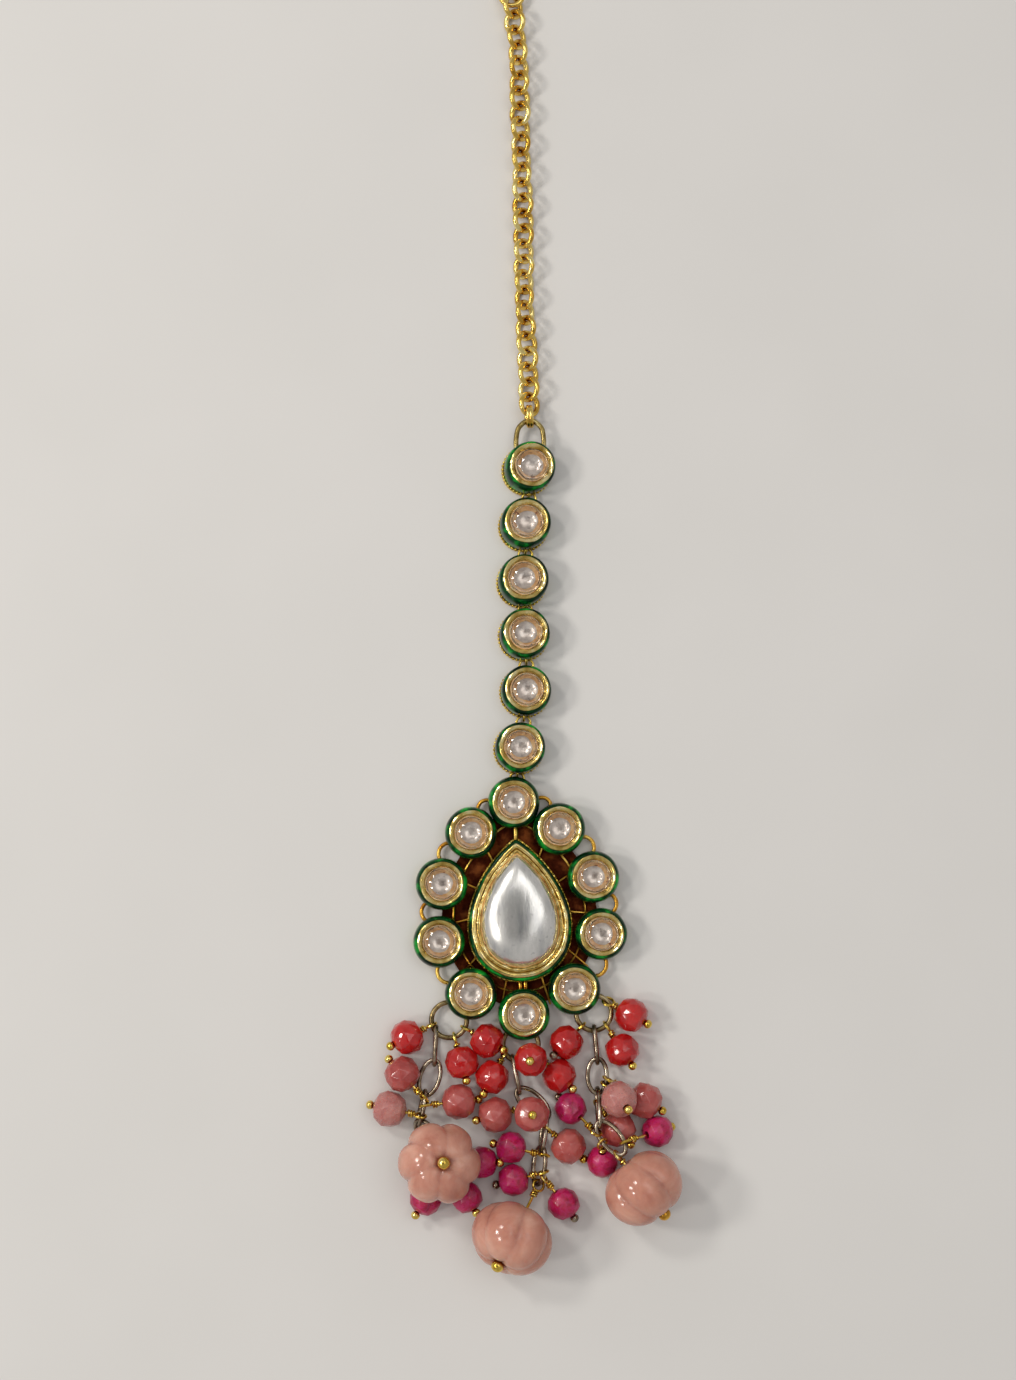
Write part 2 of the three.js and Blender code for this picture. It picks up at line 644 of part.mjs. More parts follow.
// Bead of one drop, turned so that its hole follows the pin
function bead(drop, wire) {
  const { toBead } = hangingPoint(drop, wire);
  const geometry = drop.form === 'melon' ? melonGeometry() : beadGeometry(formOf(drop));
  const turn = new THREE.Quaternion().setFromUnitVectors(upward, toBead);
  geometry.applyQuaternion(turn);
  geometry.translate(drop.x, drop.y, drop.z);
  return part(drop.name, geometry, looks[drop.form]);
}

function tasselPieces(tassel) {
  const wires = tasselWires(tassel);
  const pins = tassel.drops.map((drop) => headPin(drop, wires[drop.wire]));
  const metal = joined([...wires.map(({ solid }) => solid), ...pins]);
  const beads = tassel.drops.map((drop) => bead(drop, wires[drop.wire]));
  return [part(`tassel_${tassel.name}_metal`, asGeometry(metal), looks.antique), ...beads];
}

const jewel = new THREE.Group();
jewel.add(part('hair_hook', asGeometry(hookSolid()), looks.gold));
jewel.add(part('chain', asGeometry(hairChain()), looks.gold));
jewel.add(part('chain_ring', doubleRingGeometry(), looks.gold));
jewel.add(...column());
jewel.add(part('pendant_frame', asGeometry(pendantFrame()), looks.gold));
jewel.add(part('teardrop_stone', onPendant(teardropStack(teardropStone)), looks.glass));
tassels.forEach((tassel) => jewel.add(...tasselPieces(tassel)));

// The jewel's origin is at the middle of its box, on the surface that it lies on
const box = new THREE.Box3().setFromObject(jewel);
jewel.position.set(-(box.min.x + box.max.x) / 2, -(box.min.y + box.max.y) / 2, -box.min.z);

export default jewel;
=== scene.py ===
# Forehead jewel laid flat on a pale table: gold chain, foiled stones in enamelled cups, and bead tassels
import math
import random

import bpy
import bmesh
import numpy as np
from mathutils import Matrix, Vector


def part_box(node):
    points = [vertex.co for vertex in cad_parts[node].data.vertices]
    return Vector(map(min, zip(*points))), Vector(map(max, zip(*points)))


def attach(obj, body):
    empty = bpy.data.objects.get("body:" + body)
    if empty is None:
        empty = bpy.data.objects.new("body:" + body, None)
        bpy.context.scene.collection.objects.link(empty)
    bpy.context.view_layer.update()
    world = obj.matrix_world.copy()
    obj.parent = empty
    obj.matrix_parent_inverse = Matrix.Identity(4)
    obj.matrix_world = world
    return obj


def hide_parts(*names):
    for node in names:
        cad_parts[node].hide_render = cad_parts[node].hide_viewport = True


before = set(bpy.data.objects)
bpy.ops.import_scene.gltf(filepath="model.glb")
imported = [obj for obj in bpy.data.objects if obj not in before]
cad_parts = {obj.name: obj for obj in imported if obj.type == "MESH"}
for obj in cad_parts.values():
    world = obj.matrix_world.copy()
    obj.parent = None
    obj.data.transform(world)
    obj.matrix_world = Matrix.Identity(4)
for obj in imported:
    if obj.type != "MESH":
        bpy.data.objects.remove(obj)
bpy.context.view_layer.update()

mm = 0.001
upward = Vector((0, 0, 1))


# Places, all in millimetres

def middleOf(node):
    low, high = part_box(node)
    return (low + high) / (2 * mm)


# Every table below measures from this point: the fifth stone of the column lies 0.25 mm below it
stoneFive = middleOf("setting_stone_5")
start = Vector((stoneFive.x, stoneFive.y + 0.25, 0))


def spot(x, y, z=0.0):
    return Vector((start.x + x, start.y + y, z))


# Shapes: each is an array of points and a list of faces

def merged(shapes):
    points, faces, first = [], [], 0
    for shapePoints, shapeFaces in shapes:
        points.append(np.asarray(shapePoints, float))
        faces += [[corner + first for corner in face] for face in shapeFaces]
        first += len(shapePoints)
    return np.concatenate(points), faces


def grid(rows, columns, closedRows=False):
    # Four-cornered faces between rows of points, each row running all the way round
    faces = []
    for row in range(rows if closedRows else rows - 1):
        for column in range(columns):
            below, above = row * columns, ((row + 1) % rows) * columns
            after = (column + 1) % columns
            faces.append([below + column, below + after, above + after, above + column])
    return faces


def turned(profile, sides, closed=False):
    turns = np.arange(sides) * 2 * math.pi / sides
    points = []
    for radius, z in profile:
        points += [[radius * math.cos(turn), radius * math.sin(turn), z] for turn in turns]
    return np.array(points), grid(len(profile), sides, closedRows=closed)


def smoothPath(points, steps, closed=False):
    # Catmull-Rom curve through the points
    knots = [np.array(point, float) for point in points]
    count = len(knots)
    path = []
    for index in range(count if closed else count - 1):
        if closed:
            before, here, there, beyond = (knots[(index + k) % count] for k in (-1, 0, 1, 2))
        else:
            here, there = knots[index], knots[index + 1]
            before = knots[index - 1] if index else 2 * here - there
            beyond = knots[index + 2] if index + 2 < count else 2 * there - here
        for step in range(steps):
            share = step / steps
            place = 2 * here + (there - before) * share
            place = place + (2 * before - 5 * here + 4 * there - beyond) * share ** 2
            place = place + (3 * here - before - 3 * there + beyond) * share ** 3
            path.append(place / 2)
    if not closed:
        path.append(knots[-1])
    return np.array(path)


roundEnd = [(0.6, 0.8), (0.92, 0.4), (1.0, 0.0)]  # how far past a wire's end, and how thick there


def wireAlong(path, radius, sides=10, closed=False):
    # A round wire, whose open ends are rounded off
    path = np.asarray(path, float)
    radii = np.full(len(path), radius, float)
    if not closed:
        ahead = (path[0] - path[1]) / np.linalg.norm(path[0] - path[1])
        past = (path[-1] - path[-2]) / np.linalg.norm(path[-1] - path[-2])
        heads = [path[0] + ahead * radius * reach for reach, _ in reversed(roundEnd)]
        tails = [path[-1] + past * radius * reach for reach, _ in roundEnd]
        thinning = radius * np.array([thickness for _, thickness in roundEnd])
        radii = np.concatenate([thinning[::-1], radii, thinning])
        path = np.concatenate([heads, path, tails])
    count = len(path)
    tangents = (np.roll(path, -1, 0) - np.roll(path, 1, 0)) if closed else np.gradient(path, axis=0)
    tangents /= np.linalg.norm(tangents, axis=1)[:, None]
    normal = np.cross(tangents[0], [0.31, 0.57, 0.76])
    points = []
    for index in range(count):
        normal = normal - tangents[index] * (normal @ tangents[index])
        normal /= np.linalg.norm(normal)
        other = np.cross(tangents[index], normal)
        for side in range(sides):
            turn = 2 * math.pi * side / sides
            outward = math.cos(turn) * normal + math.sin(turn) * other
            points.append(path[index] + radii[index] * outward)
    return np.array(points), grid(count, sides, closedRows=closed)


def ovalRing(halfLength, halfWidth, wire, segments=36, sides=12):
    # Wire ring in the XY plane, drawn out along X
    points = []
    for segment in range(segments):
        turn = 2 * math.pi * segment / segments
        centre = np.array([halfLength * math.cos(turn), halfWidth * math.sin(turn), 0])
        outward = np.array([halfWidth * math.cos(turn), halfLength * math.sin(turn), 0])
        outward /= np.linalg.norm(outward)
        for side in range(sides):
            around = 2 * math.pi * side / sides
            reach = math.cos(around) * outward + math.sin(around) * np.array([0, 0, 1])
            points.append(centre + wire * reach)
    return np.array(points), grid(segments, sides, closedRows=True)


def ball(radius, centre=(0, 0, 0), rows=9, sides=16, squash=1.0):
    angles = np.linspace(-math.pi / 2, math.pi / 2, rows)
    profile = [(radius * math.cos(angle), squash * radius * math.sin(angle)) for angle in angles]
    points, faces = turned(profile, sides)
    return points + np.array(centre), faces


def laid(shape, along, side, place):
    # Turns a shape so that its X runs along and its Y to the side, and moves it to a place
    along, side = Vector(along).normalized(), Vector(side).normalized()
    axes = np.array([along, side, along.cross(side)])
    return np.asarray(shape[0]) @ axes + np.array(place), shape[1]


def shifted(shape, x, y, z=0.0):
    return np.asarray(shape[0]) + np.array([x, y, z]), shape[1]


def roughened(shape, amount, size, seed):
    # Pushes points about by soft waves, three to an axis, so that hand-worked edges aren't perfect
    points = np.array(shape[0], float)
    rng = random.Random(seed)
    waves = []
    for _ in range(9):
        way = np.array([rng.uniform(-1, 1) * 2 * math.pi / size for _ in range(3)])
        waves.append((way, rng.uniform(0, 6.28)))
    for axis in range(3):
        own = waves[axis * 3:axis * 3 + 3]
        push = sum(np.sin(points @ way + phase + axis * 2.1) for way, phase in own) / 3
        points[:, axis] += amount * push
    return points, shape[1]


def makePiece(name, shapes, material, stands=(), sharpAngle=40, bevel=None):
    points, faces = merged(shapes) if isinstance(shapes, list) else shapes
    mesh = bpy.data.meshes.new(name)
    mesh.from_pydata((points * mm).tolist(), [], faces)
    work = bmesh.new()
    work.from_mesh(mesh)
    bmesh.ops.remove_doubles(work, verts=work.verts, dist=0.002 * mm)
    bmesh.ops.dissolve_degenerate(work, dist=0.001 * mm, edges=work.edges)
    bmesh.ops.recalc_face_normals(work, faces=work.faces)
    work.to_mesh(mesh)
    work.free()
    mesh.materials.append(material)
    piece = bpy.data.objects.new(name, mesh)
    bpy.context.scene.collection.objects.link(piece)
    if bevel:
        soften = piece.modifiers.new("softEdges", "BEVEL")
        soften.width = bevel * mm
        soften.segments = 2
        soften.limit_method = "ANGLE"
        soften.angle_limit = math.radians(6)
        evaluated = piece.evaluated_get(bpy.context.evaluated_depsgraph_get())
        piece.data = bpy.data.meshes.new_from_object(evaluated)
        piece.modifiers.clear()
    piece.data.polygons.foreach_set("use_smooth", [True] * len(piece.data.polygons))
    piece.data.set_sharp_from_angle(angle=math.radians(sharpAngle))
    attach(piece, "root")
    if stands:
        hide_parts(*stands)
    return piece


# Finishes

white = (1.0, 1.0, 1.0)


def newFinish(name):
    finish = bpy.data.materials.new(name)
    finish.use_nodes = True
    return finish, finish.node_tree, finish.node_tree.nodes["Principled BSDF"]


def addNode(tree, kind, inputs=None, **settings):
    node = tree.nodes.new(kind)
    for key, value in settings.items():
        setattr(node, key, value)
    for key, value in (inputs or {}).items():
        node.inputs[key].default_value = value
    return node


def setShader(shader, values):
    for key, value in values.items():
        if isinstance(value, tuple) and len(value) == 3 and "Radius" not in key:
            value = (*value, 1)
        shader.inputs[key].default_value = value


def cloud(tree, size, detail=4.0, roughness=0.55, stretch=(1, 1, 1), place=(0, 0, 0), twist=0.0):
    # Noise whose patches are about this many millimetres across
    where = addNode(tree, "ShaderNodeTexCoord")
    mapping = addNode(tree, "ShaderNodeMapping")
    mapping.inputs["Scale"].default_value = [part / (size * mm) for part in stretch]
    mapping.inputs["Location"].default_value = place
    settings = {"Scale": 1.0, "Detail": detail, "Roughness": roughness, "Distortion": twist}
    noise = addNode(tree, "ShaderNodeTexNoise", settings)
    tree.links.new(where.outputs["Object"], mapping.inputs["Vector"])
    tree.links.new(mapping.outputs["Vector"], noise.inputs["Vector"])
    return noise.outputs["Fac"]


def ramp(tree, value, stops):
    node = addNode(tree, "ShaderNodeValToRGB")
    elements = node.color_ramp.elements
    while len(elements) < len(stops):
        elements.new(0.5)
    for element, (position, colour) in zip(elements, stops):
        element.position = position
        element.color = (*colour, 1) if isinstance(colour, tuple) else (colour, colour, colour, 1)
    tree.links.new(value, node.inputs["Fac"])
    return node.outputs["Color"]


def mixed(tree, share, first, second, kind="MIX"):
    node = addNode(tree, "ShaderNodeMix", data_type="RGBA", blend_type=kind)
    for value, socket in ((share, node.inputs[0]), (first, node.inputs[6]), (second, node.inputs[7])):
        if isinstance(value, bpy.types.NodeSocket):
            tree.links.new(value, socket)
        elif isinstance(value, tuple):
            socket.default_value = (*value, 1)
        else:
            socket.default_value = value
    return node.outputs[2]


def bumped(tree, shader, heights):
    # Each height is (value, strength, depth in millimetres)
    normal = None
    for value, strength, depth in heights:
        node = addNode(tree, "ShaderNodeBump", {"Strength": strength, "Distance": depth * mm})
        tree.links.new(value, node.inputs["Height"])
        if normal is not None:
            tree.links.new(normal, node.inputs["Normal"])
        normal = node.outputs["Normal"]
    tree.links.new(normal, shader.inputs["Normal"])


def crevices(tree, reach):
    # Painted shade: dark where a surface is hemmed in, such as between the links
    node = addNode(tree, "ShaderNodeAmbientOcclusion", {"Distance": reach * mm}, samples=6)
    return node.outputs["AO"]


def metalFinish(name, look):
    # Tone in patches, painted shade where it is hemmed in, uneven polish, dents and a fine grain
    finish, tree, shader = newFinish(name)
    tone = cloud(tree, look["patch"])
    colour = ramp(tree, tone, [(0.32, look["deep"]), (0.5, look["middle"]), (0.66, look["bright"])])
    # Painted shade: the colour darkens where the surface is hemmed in, as far as the given reach
    hemmed = crevices(tree, look.get("creviceReach", 0.7))
    paintedShade = ramp(tree, hemmed, [(0.25, look["creviceShade"]), (0.85, white)])
    colour = mixed(tree, 1.0, colour, paintedShade, "MULTIPLY")
    tree.links.new(colour, shader.inputs["Base Color"])
    wear = cloud(tree, look["patch"] * 0.6, detail=6)
    polish = ramp(tree, wear, [(0.3, look["smooth"]), (0.7, look["rough"])])
    tree.links.new(polish, shader.inputs["Roughness"])
    fine = cloud(tree, look["grain"], detail=3)
    dents = cloud(tree, look["dent"], detail=2)
    bumped(tree, shader, [(dents, look["dentBump"], 0.12), (fine, look["grainBump"], 0.02)])
    setShader(shader, {"Metallic": 1.0})
    return finish


def enamelFinish(name, look):
    # Clear green over metal, pooled dark and bright, with a wavy surface
    finish, tree, shader = newFinish(name)
    tone = cloud(tree, look["patch"], detail=3)
    colour = ramp(tree, tone, [(0.35, look["deep"]), (0.52, look["middle"]), (0.7, look["bright"])])
    tree.links.new(colour, shader.inputs["Base Color"])
    bumped(tree, shader, [(cloud(tree, look["ripple"], detail=2), 0.35, 0.08)])
    setShader(shader, {"Metallic": look["metal"], "Roughness": look["rough"],
                       "Specular IOR Level": look["shine"],
                       "Coat Weight": look["coat"], "Coat Roughness": 0.06})
    return finish


def foilFinish(name, look):
    # Pressed foil: tone in patches, dark specks and crinkles, which a stretch draws out one way
    finish, tree, shader = newFinish(name)
    stretch = look.get("stretch", (1, 1, 1))
    tone = cloud(tree, look["patch"], detail=5, stretch=stretch)
    colour = ramp(tree, tone, [(0.3, look["deep"]), (0.5, look["middle"]), (0.68, look["bright"])])
    dust = cloud(tree, 0.5, detail=1, place=(3.1, 0.7, 0))
    specks = ramp(tree, dust, [(0.27, look["speck"]), (0.31, white)])
    tree.links.new(mixed(tree, 1.0, colour, specks, "MULTIPLY"), shader.inputs["Base Color"])
    crinkle = cloud(tree, look["crinkle"], detail=3, roughness=0.6, stretch=stretch, twist=0.4)
    bumped(tree, shader, [(crinkle, look["crinkleBump"], look["crinkleDepth"])])
    setShader(shader, {"Metallic": look["metal"], "Roughness": look["rough"],
                       "Coat Weight": look["coat"], "Coat Roughness": 0.03})
    return finish


def glassFinish(name, look):
    finish, tree, shader = newFinish(name)
    haze = ramp(tree, cloud(tree, 0.9, detail=5), [(0.45, 0.0), (0.75, look["haze"])])
    tree.links.new(haze, shader.inputs["Roughness"])
    bumped(tree, shader, [(cloud(tree, 1.6, detail=1), 0.06, 0.05)])
    setShader(shader, {"Base Color": look["tint"], "Transmission Weight": 1.0, "IOR": 1.52})
    return finish


def beadFinish(name, look):
    # Cloudy glass or stone that lets a little light in, with veins or grooves darkened by painted shade where
    # they are given
    finish, tree, shader = newFinish(name)
    place = look.get("place", (0, 0, 0))
    tone = cloud(tree, look["patch"], detail=5, roughness=0.6, place=place, twist=0.6)
    colour = ramp(tree, tone, [(0.3, look["deep"]), (0.5, look["middle"]), (0.72, look["bright"])])
    if "vein" in look:
        swirl = cloud(tree, look["patch"] * 0.8, detail=8, roughness=0.7, place=place, twist=1.6)
        vein = ramp(tree, swirl, [(0.44, 0.0), (0.5, look["veinShare"]), (0.56, 0.0)])
        colour = mixed(tree, vein, colour, look["vein"])
    if "groove" in look:
        # Painted shade: darker in the grooves, where the surface is hemmed in
        hemmed = crevices(tree, look["grooveReach"])
        shade = ramp(tree, hemmed, [(0.45, look["groove"]), (0.85, white)])
        colour = mixed(tree, 1.0, colour, shade, "MULTIPLY")
    tree.links.new(colour, shader.inputs["Base Color"])
    wear = cloud(tree, 0.7, detail=4, place=place)
    polish = ramp(tree, wear, [(0.35, look["smooth"]), (0.7, look["rough"])])
    tree.links.new(polish, shader.inputs["Roughness"])
    bumped(tree, shader, [(cloud(tree, look["pit"], detail=3, place=place), look["pitBump"], 0.03)])
    setShader(shader, {"Subsurface Weight": look["glow"], "Subsurface Scale": look["glowReach"] * mm,
                       "Coat Weight": look["coat"], "Coat Roughness": 0.05, "IOR": 1.5,
                       "Transmission Weight": look.get("clear", 0.0)})
    shader.inputs["Subsurface Radius"].default_value = look["glowColour"]
    return finish


chainGold = metalFinish("chainGold", {
    "deep": (0.56, 0.31, 0.04), "middle": (0.86, 0.6, 0.14), "bright": (0.98, 0.83, 0.36),
    "creviceShade": (0.45, 0.23, 0.06), "smooth": 0.13, "rough": 0.28,
    "patch": 2.5, "grain": 0.12, "grainBump": 0.12, "dent": 1.2, "dentBump": 0.2})
bailBronze = metalFinish("bailBronze", {
    "deep": (0.15, 0.1, 0.03), "middle": (0.38, 0.29, 0.1), "bright": (0.62, 0.52, 0.24),
    "creviceShade": (0.3, 0.24, 0.14), "smooth": 0.2, "rough": 0.4,
    "patch": 1.4, "grain": 0.15, "grainBump": 0.2, "dent": 0.9, "dentBump": 0.25})
rimGold = metalFinish("rimGold", {
    "deep": (0.48, 0.32, 0.07), "middle": (0.8, 0.61, 0.21), "bright": (0.96, 0.84, 0.46),
    "creviceShade": (0.28, 0.19, 0.08), "creviceReach": 0.4, "smooth": 0.12, "rough": 0.28,
    "patch": 1.3, "grain": 0.16, "grainBump": 0.1, "dent": 0.9, "dentBump": 0.35})
plateGold = metalFinish("plateGold", {
    "deep": (0.42, 0.27, 0.03), "middle": (0.78, 0.56, 0.1), "bright": (0.93, 0.78, 0.24),
    "creviceShade": (0.5, 0.38, 0.14), "smooth": 0.18, "rough": 0.34,
    "patch": 0.9, "grain": 0.14, "grainBump": 0.15, "dent": 0.5, "dentBump": 0.3})
latticeGold = metalFinish("latticeGold", {
    "deep": (0.45, 0.18, 0.02), "middle": (0.76, 0.42, 0.06), "bright": (0.95, 0.66, 0.16),
    "creviceShade": (0.35, 0.17, 0.08), "smooth": 0.2, "rough": 0.4,
    "patch": 1.5, "grain": 0.2, "grainBump": 0.2, "dent": 0.7, "dentBump": 0.3})
ringBrass = metalFinish("ringBrass", {
    "deep": (0.1, 0.07, 0.03), "middle": (0.32, 0.23, 0.1), "bright": (0.58, 0.48, 0.28),
    "creviceShade": (0.35, 0.26, 0.18), "smooth": 0.22, "rough": 0.42,
    "patch": 1.8, "grain": 0.18, "grainBump": 0.25, "dent": 0.9, "dentBump": 0.25})
linkSilver = metalFinish("linkSilver", {
    "deep": (0.09, 0.06, 0.038), "middle": (0.32, 0.255, 0.18), "bright": (0.62, 0.54, 0.43),
    "creviceShade": (0.35, 0.28, 0.22), "smooth": 0.18, "rough": 0.38,
    "patch": 1.8, "grain": 0.18, "grainBump": 0.2, "dent": 0.9, "dentBump": 0.25})
pinGold = metalFinish("pinGold", {
    "deep": (0.5, 0.3, 0.03), "middle": (0.8, 0.56, 0.1), "bright": (0.95, 0.78, 0.28),
    "creviceShade": (0.4, 0.22, 0.06), "smooth": 0.14, "rough": 0.28,
    "patch": 0.9, "grain": 0.14, "grainBump": 0.1, "dent": 0.5, "dentBump": 0.15})
# Painted shade: the plate's near-black red-brown is the dark of the shadowed gaps between the cups
gapShadePlate = metalFinish("gapShadePlate", {
    "deep": (0.03, 0.006, 0.003), "middle": (0.09, 0.018, 0.007), "bright": (0.26, 0.075, 0.02),
    "creviceShade": (0.35, 0.18, 0.12), "creviceReach": 1.6, "smooth": 0.3, "rough": 0.6,
    "patch": 1.6, "grain": 0.25, "grainBump": 0.3, "dent": 0.8, "dentBump": 0.4})
greenEnamel = enamelFinish("greenEnamel", {
    "deep": (0.0, 0.01, 0.004), "middle": (0.001, 0.05, 0.01), "bright": (0.012, 0.4, 0.04),
    "metal": 0.3, "rough": 0.2, "shine": 0.15, "coat": 0.18, "patch": 1.9, "ripple": 0.8})
peachFoil = foilFinish("peachFoil", {
    "deep": (0.7, 0.36, 0.11), "middle": (0.94, 0.58, 0.24), "bright": (0.99, 0.8, 0.46),
    "speck": (0.4, 0.2, 0.12), "metal": 0.45, "rough": 0.32, "coat": 0.3, "patch": 0.9,
    "crinkle": 0.6, "crinkleBump": 0.3, "crinkleDepth": 0.1})
silverFoil = foilFinish("silverFoil", {
    "deep": (0.55, 0.49, 0.46), "middle": (0.78, 0.72, 0.68), "bright": (0.93, 0.89, 0.86),
    "speck": (0.6, 0.56, 0.55), "metal": 0.75, "rough": 0.33, "coat": 0.2, "patch": 0.8,
    "crinkle": 0.9, "crinkleBump": 0.15, "crinkleDepth": 0.1})
crinkledFoil = foilFinish("crinkledFoil", {
    "deep": (0.36, 0.22, 0.04), "middle": (0.7, 0.5, 0.15), "bright": (0.95, 0.8, 0.42),
    "speck": (0.5, 0.33, 0.16), "metal": 1.0, "rough": 0.2, "coat": 0.3, "patch": 0.8,
    "crinkle": 1.1, "crinkleBump": 0.45, "crinkleDepth": 0.15})
teardropSilver = foilFinish("teardropSilver", {
    "deep": (0.6, 0.6, 0.6), "middle": (0.78, 0.77, 0.74), "bright": (0.9, 0.88, 0.85),
    "speck": (0.82, 0.82, 0.83), "metal": 0.92, "rough": 0.25, "coat": 0.35, "patch": 2.2,
    "stretch": (1.5, 0.45, 1.0), "crinkle": 2.2, "crinkleBump": 0.2, "crinkleDepth": 0.22})
stoneGlass = glassFinish("stoneGlass", {"tint": (0.99, 0.965, 0.94), "haze": 0.08})
print("finishes made:", len(bpy.data.materials))


# Chain, ring, bail and hook

chainShape = {
    "route": [(0.3, 35.68, 1.5), (0.1, 41.5, 1.1), (-0.3, 49.1, 1.1), (-0.42, 57.5, 1.1), (-0.55, 63.2, 1.1),
              (-0.75, 69.0, 1.1), (-0.9, 74.8, 1.1), (-1.05, 80.0, 1.1), (-1.75, 86.4, 1.1)],
    "linkRadius": 1.31, "wire": 0.335, "pitch": 1.95, "stretch": 0.02,
    "roll": 43, "rollSpread": 6,  # degrees by which links lean, one to the left and the next to the right
}


def rolledSide(along, roll):
    # The side of a link that is rolled about its length by this many degrees from lying flat
    across = upward.cross(along).normalized()
    turn = math.radians(roll)
    return across * math.cos(turn) + along.cross(across) * math.sin(turn)


def evenlyAlong(path, count):
    gaps = np.linalg.norm(np.diff(path, axis=0), axis=1)
    walked = np.concatenate([[0], np.cumsum(gaps)])
    wanted = np.linspace(0, walked[-1], count)
    places = np.stack([np.interp(wanted, walked, path[:, axis]) for axis in range(3)], axis=1)
    return places, np.gradient(places, axis=0)


def makeChain():
    rng = random.Random(4)
    route = smoothPath([spot(*place) for place in chainShape["route"]], 12)
    length = np.linalg.norm(np.diff(route, axis=0), axis=1).sum()
    places, ways = evenlyAlong(route, round(length / chainShape["pitch"]) + 1)
    links = []
    radius = chainShape["linkRadius"]
    for index, (place, way) in enumerate(zip(places, ways)):
        along = Vector(way).normalized()
        roll = chainShape["roll"] + rng.uniform(-1, 1) * chainShape["rollSpread"]
        link = ovalRing(radius * (1 + chainShape["stretch"]), radius, chainShape["wire"])
        links.append(laid(link, along, rolledSide(along, -roll if index % 2 else roll), place))
    makePiece("chainLinks", links, chainGold, ["chain"])


doubleRing = {"at": (0.3, 34.15, 1.52), "radius": 1.17, "wire": 0.3, "halfSpread": 0.36, "turns": 2.05,
              "startAngle": -2.2}


def makeDoubleRing():
    path = []
    for turn in np.linspace(0, doubleRing["turns"], 90):
        angle = 2 * math.pi * turn + doubleRing["startAngle"]
        x = doubleRing["halfSpread"] * (2 * turn / doubleRing["turns"] - 1)
        outward = Vector((0, math.cos(angle), math.sin(angle)))
        path.append(spot(*doubleRing["at"]) + Vector((x, 0, 0)) + outward * doubleRing["radius"])
    makePiece("chainRing", wireAlong(path, doubleRing["wire"], 12), chainGold, ["chain_ring"])


# The bail's line is measured from the middle of the first stone
bail = {"line": [(-1.97, 2.2), (-1.97, 3.5), (-1.6, 4.95), (-0.25, 5.85), (1.13, 4.95), (1.47, 3.5),
                 (1.47, 2.2)],
        "height": 1.55, "wire": 0.32}


def makeBail():
    cupCentre = middleOf("setting_stone_1")
    path = smoothPath([(cupCentre.x + x, cupCentre.y + y, bail["height"]) for x, y in bail["line"]], 10)
    makePiece("bailWire", wireAlong(path, bail["wire"], 14), bailBronze, ["setting_1"])


hairHook = {
    "eyeReach": 1.66, "eyeRadius": 1.45, "eyeWire": 0.32,
    "wire": 0.45, "shank": 5.4, "bend": 2.75, "tip": 4.5, "lyingHeight": 0.5,
    "wraps": 3, "wrapWire": 0.2, "wrapRadius": 0.62, "wrapStart": 0.35, "wrapPitch": 0.42, "wrapDrop": 0.05,
}


def makeHairHook():
    end, before = spot(*chainShape["route"][-1]), spot(*chainShape["route"][-2])
    along = Vector((end.x - before.x, end.y - before.y, 0)).normalized()
    eye = end + along * hairHook["eyeReach"]
    first = eye.y + hairHook["eyeRadius"]
    bendY, low, side = first + hairHook["shank"], hairHook["lyingHeight"], hairHook["bend"]
    halfway = (eye.x, (first + bendY) / 2, (eye.z + low) / 2)
    points = [(eye.x, first - 0.1, eye.z), halfway, (eye.x, bendY, low)]
    for step in range(1, 5):
        angle = math.pi * (1 - step / 4)
        points.append((eye.x + side * (1 + math.cos(angle)), bendY + side * math.sin(angle), low))
    points.append((eye.x + 2 * side, bendY - hairHook["tip"], low))
    eyeRing = shifted(ovalRing(hairHook["eyeRadius"], hairHook["eyeRadius"], hairHook["eyeWire"]), *eye)
    wraps = []
    for turn in np.linspace(0, hairHook["wraps"], 60):
        outward = Vector((math.cos(2 * math.pi * turn), 0, math.sin(2 * math.pi * turn)))
        y = first + hairHook["wrapStart"] + hairHook["wrapPitch"] * turn
        middle = Vector((eye.x, y, eye.z - hairHook["wrapDrop"] * turn))
        wraps.append(middle + outward * hairHook["wrapRadius"])
    hookWire = wireAlong(smoothPath(points, 10), hairHook["wire"], 14)
    shapes = [hookWire, eyeRing, wireAlong(wraps, hairHook["wrapWire"], 10)]
    makePiece("hairHook", shapes, chainGold, ["hair_hook"])


makeChain()
makeDoubleRing()
makeBail()
makeHairHook()
print("chain, ring, bail and hook made")


# Round cups: a gold plate with a grained edge, an enamelled wall, a hand-pressed rim, foil and a glass dome

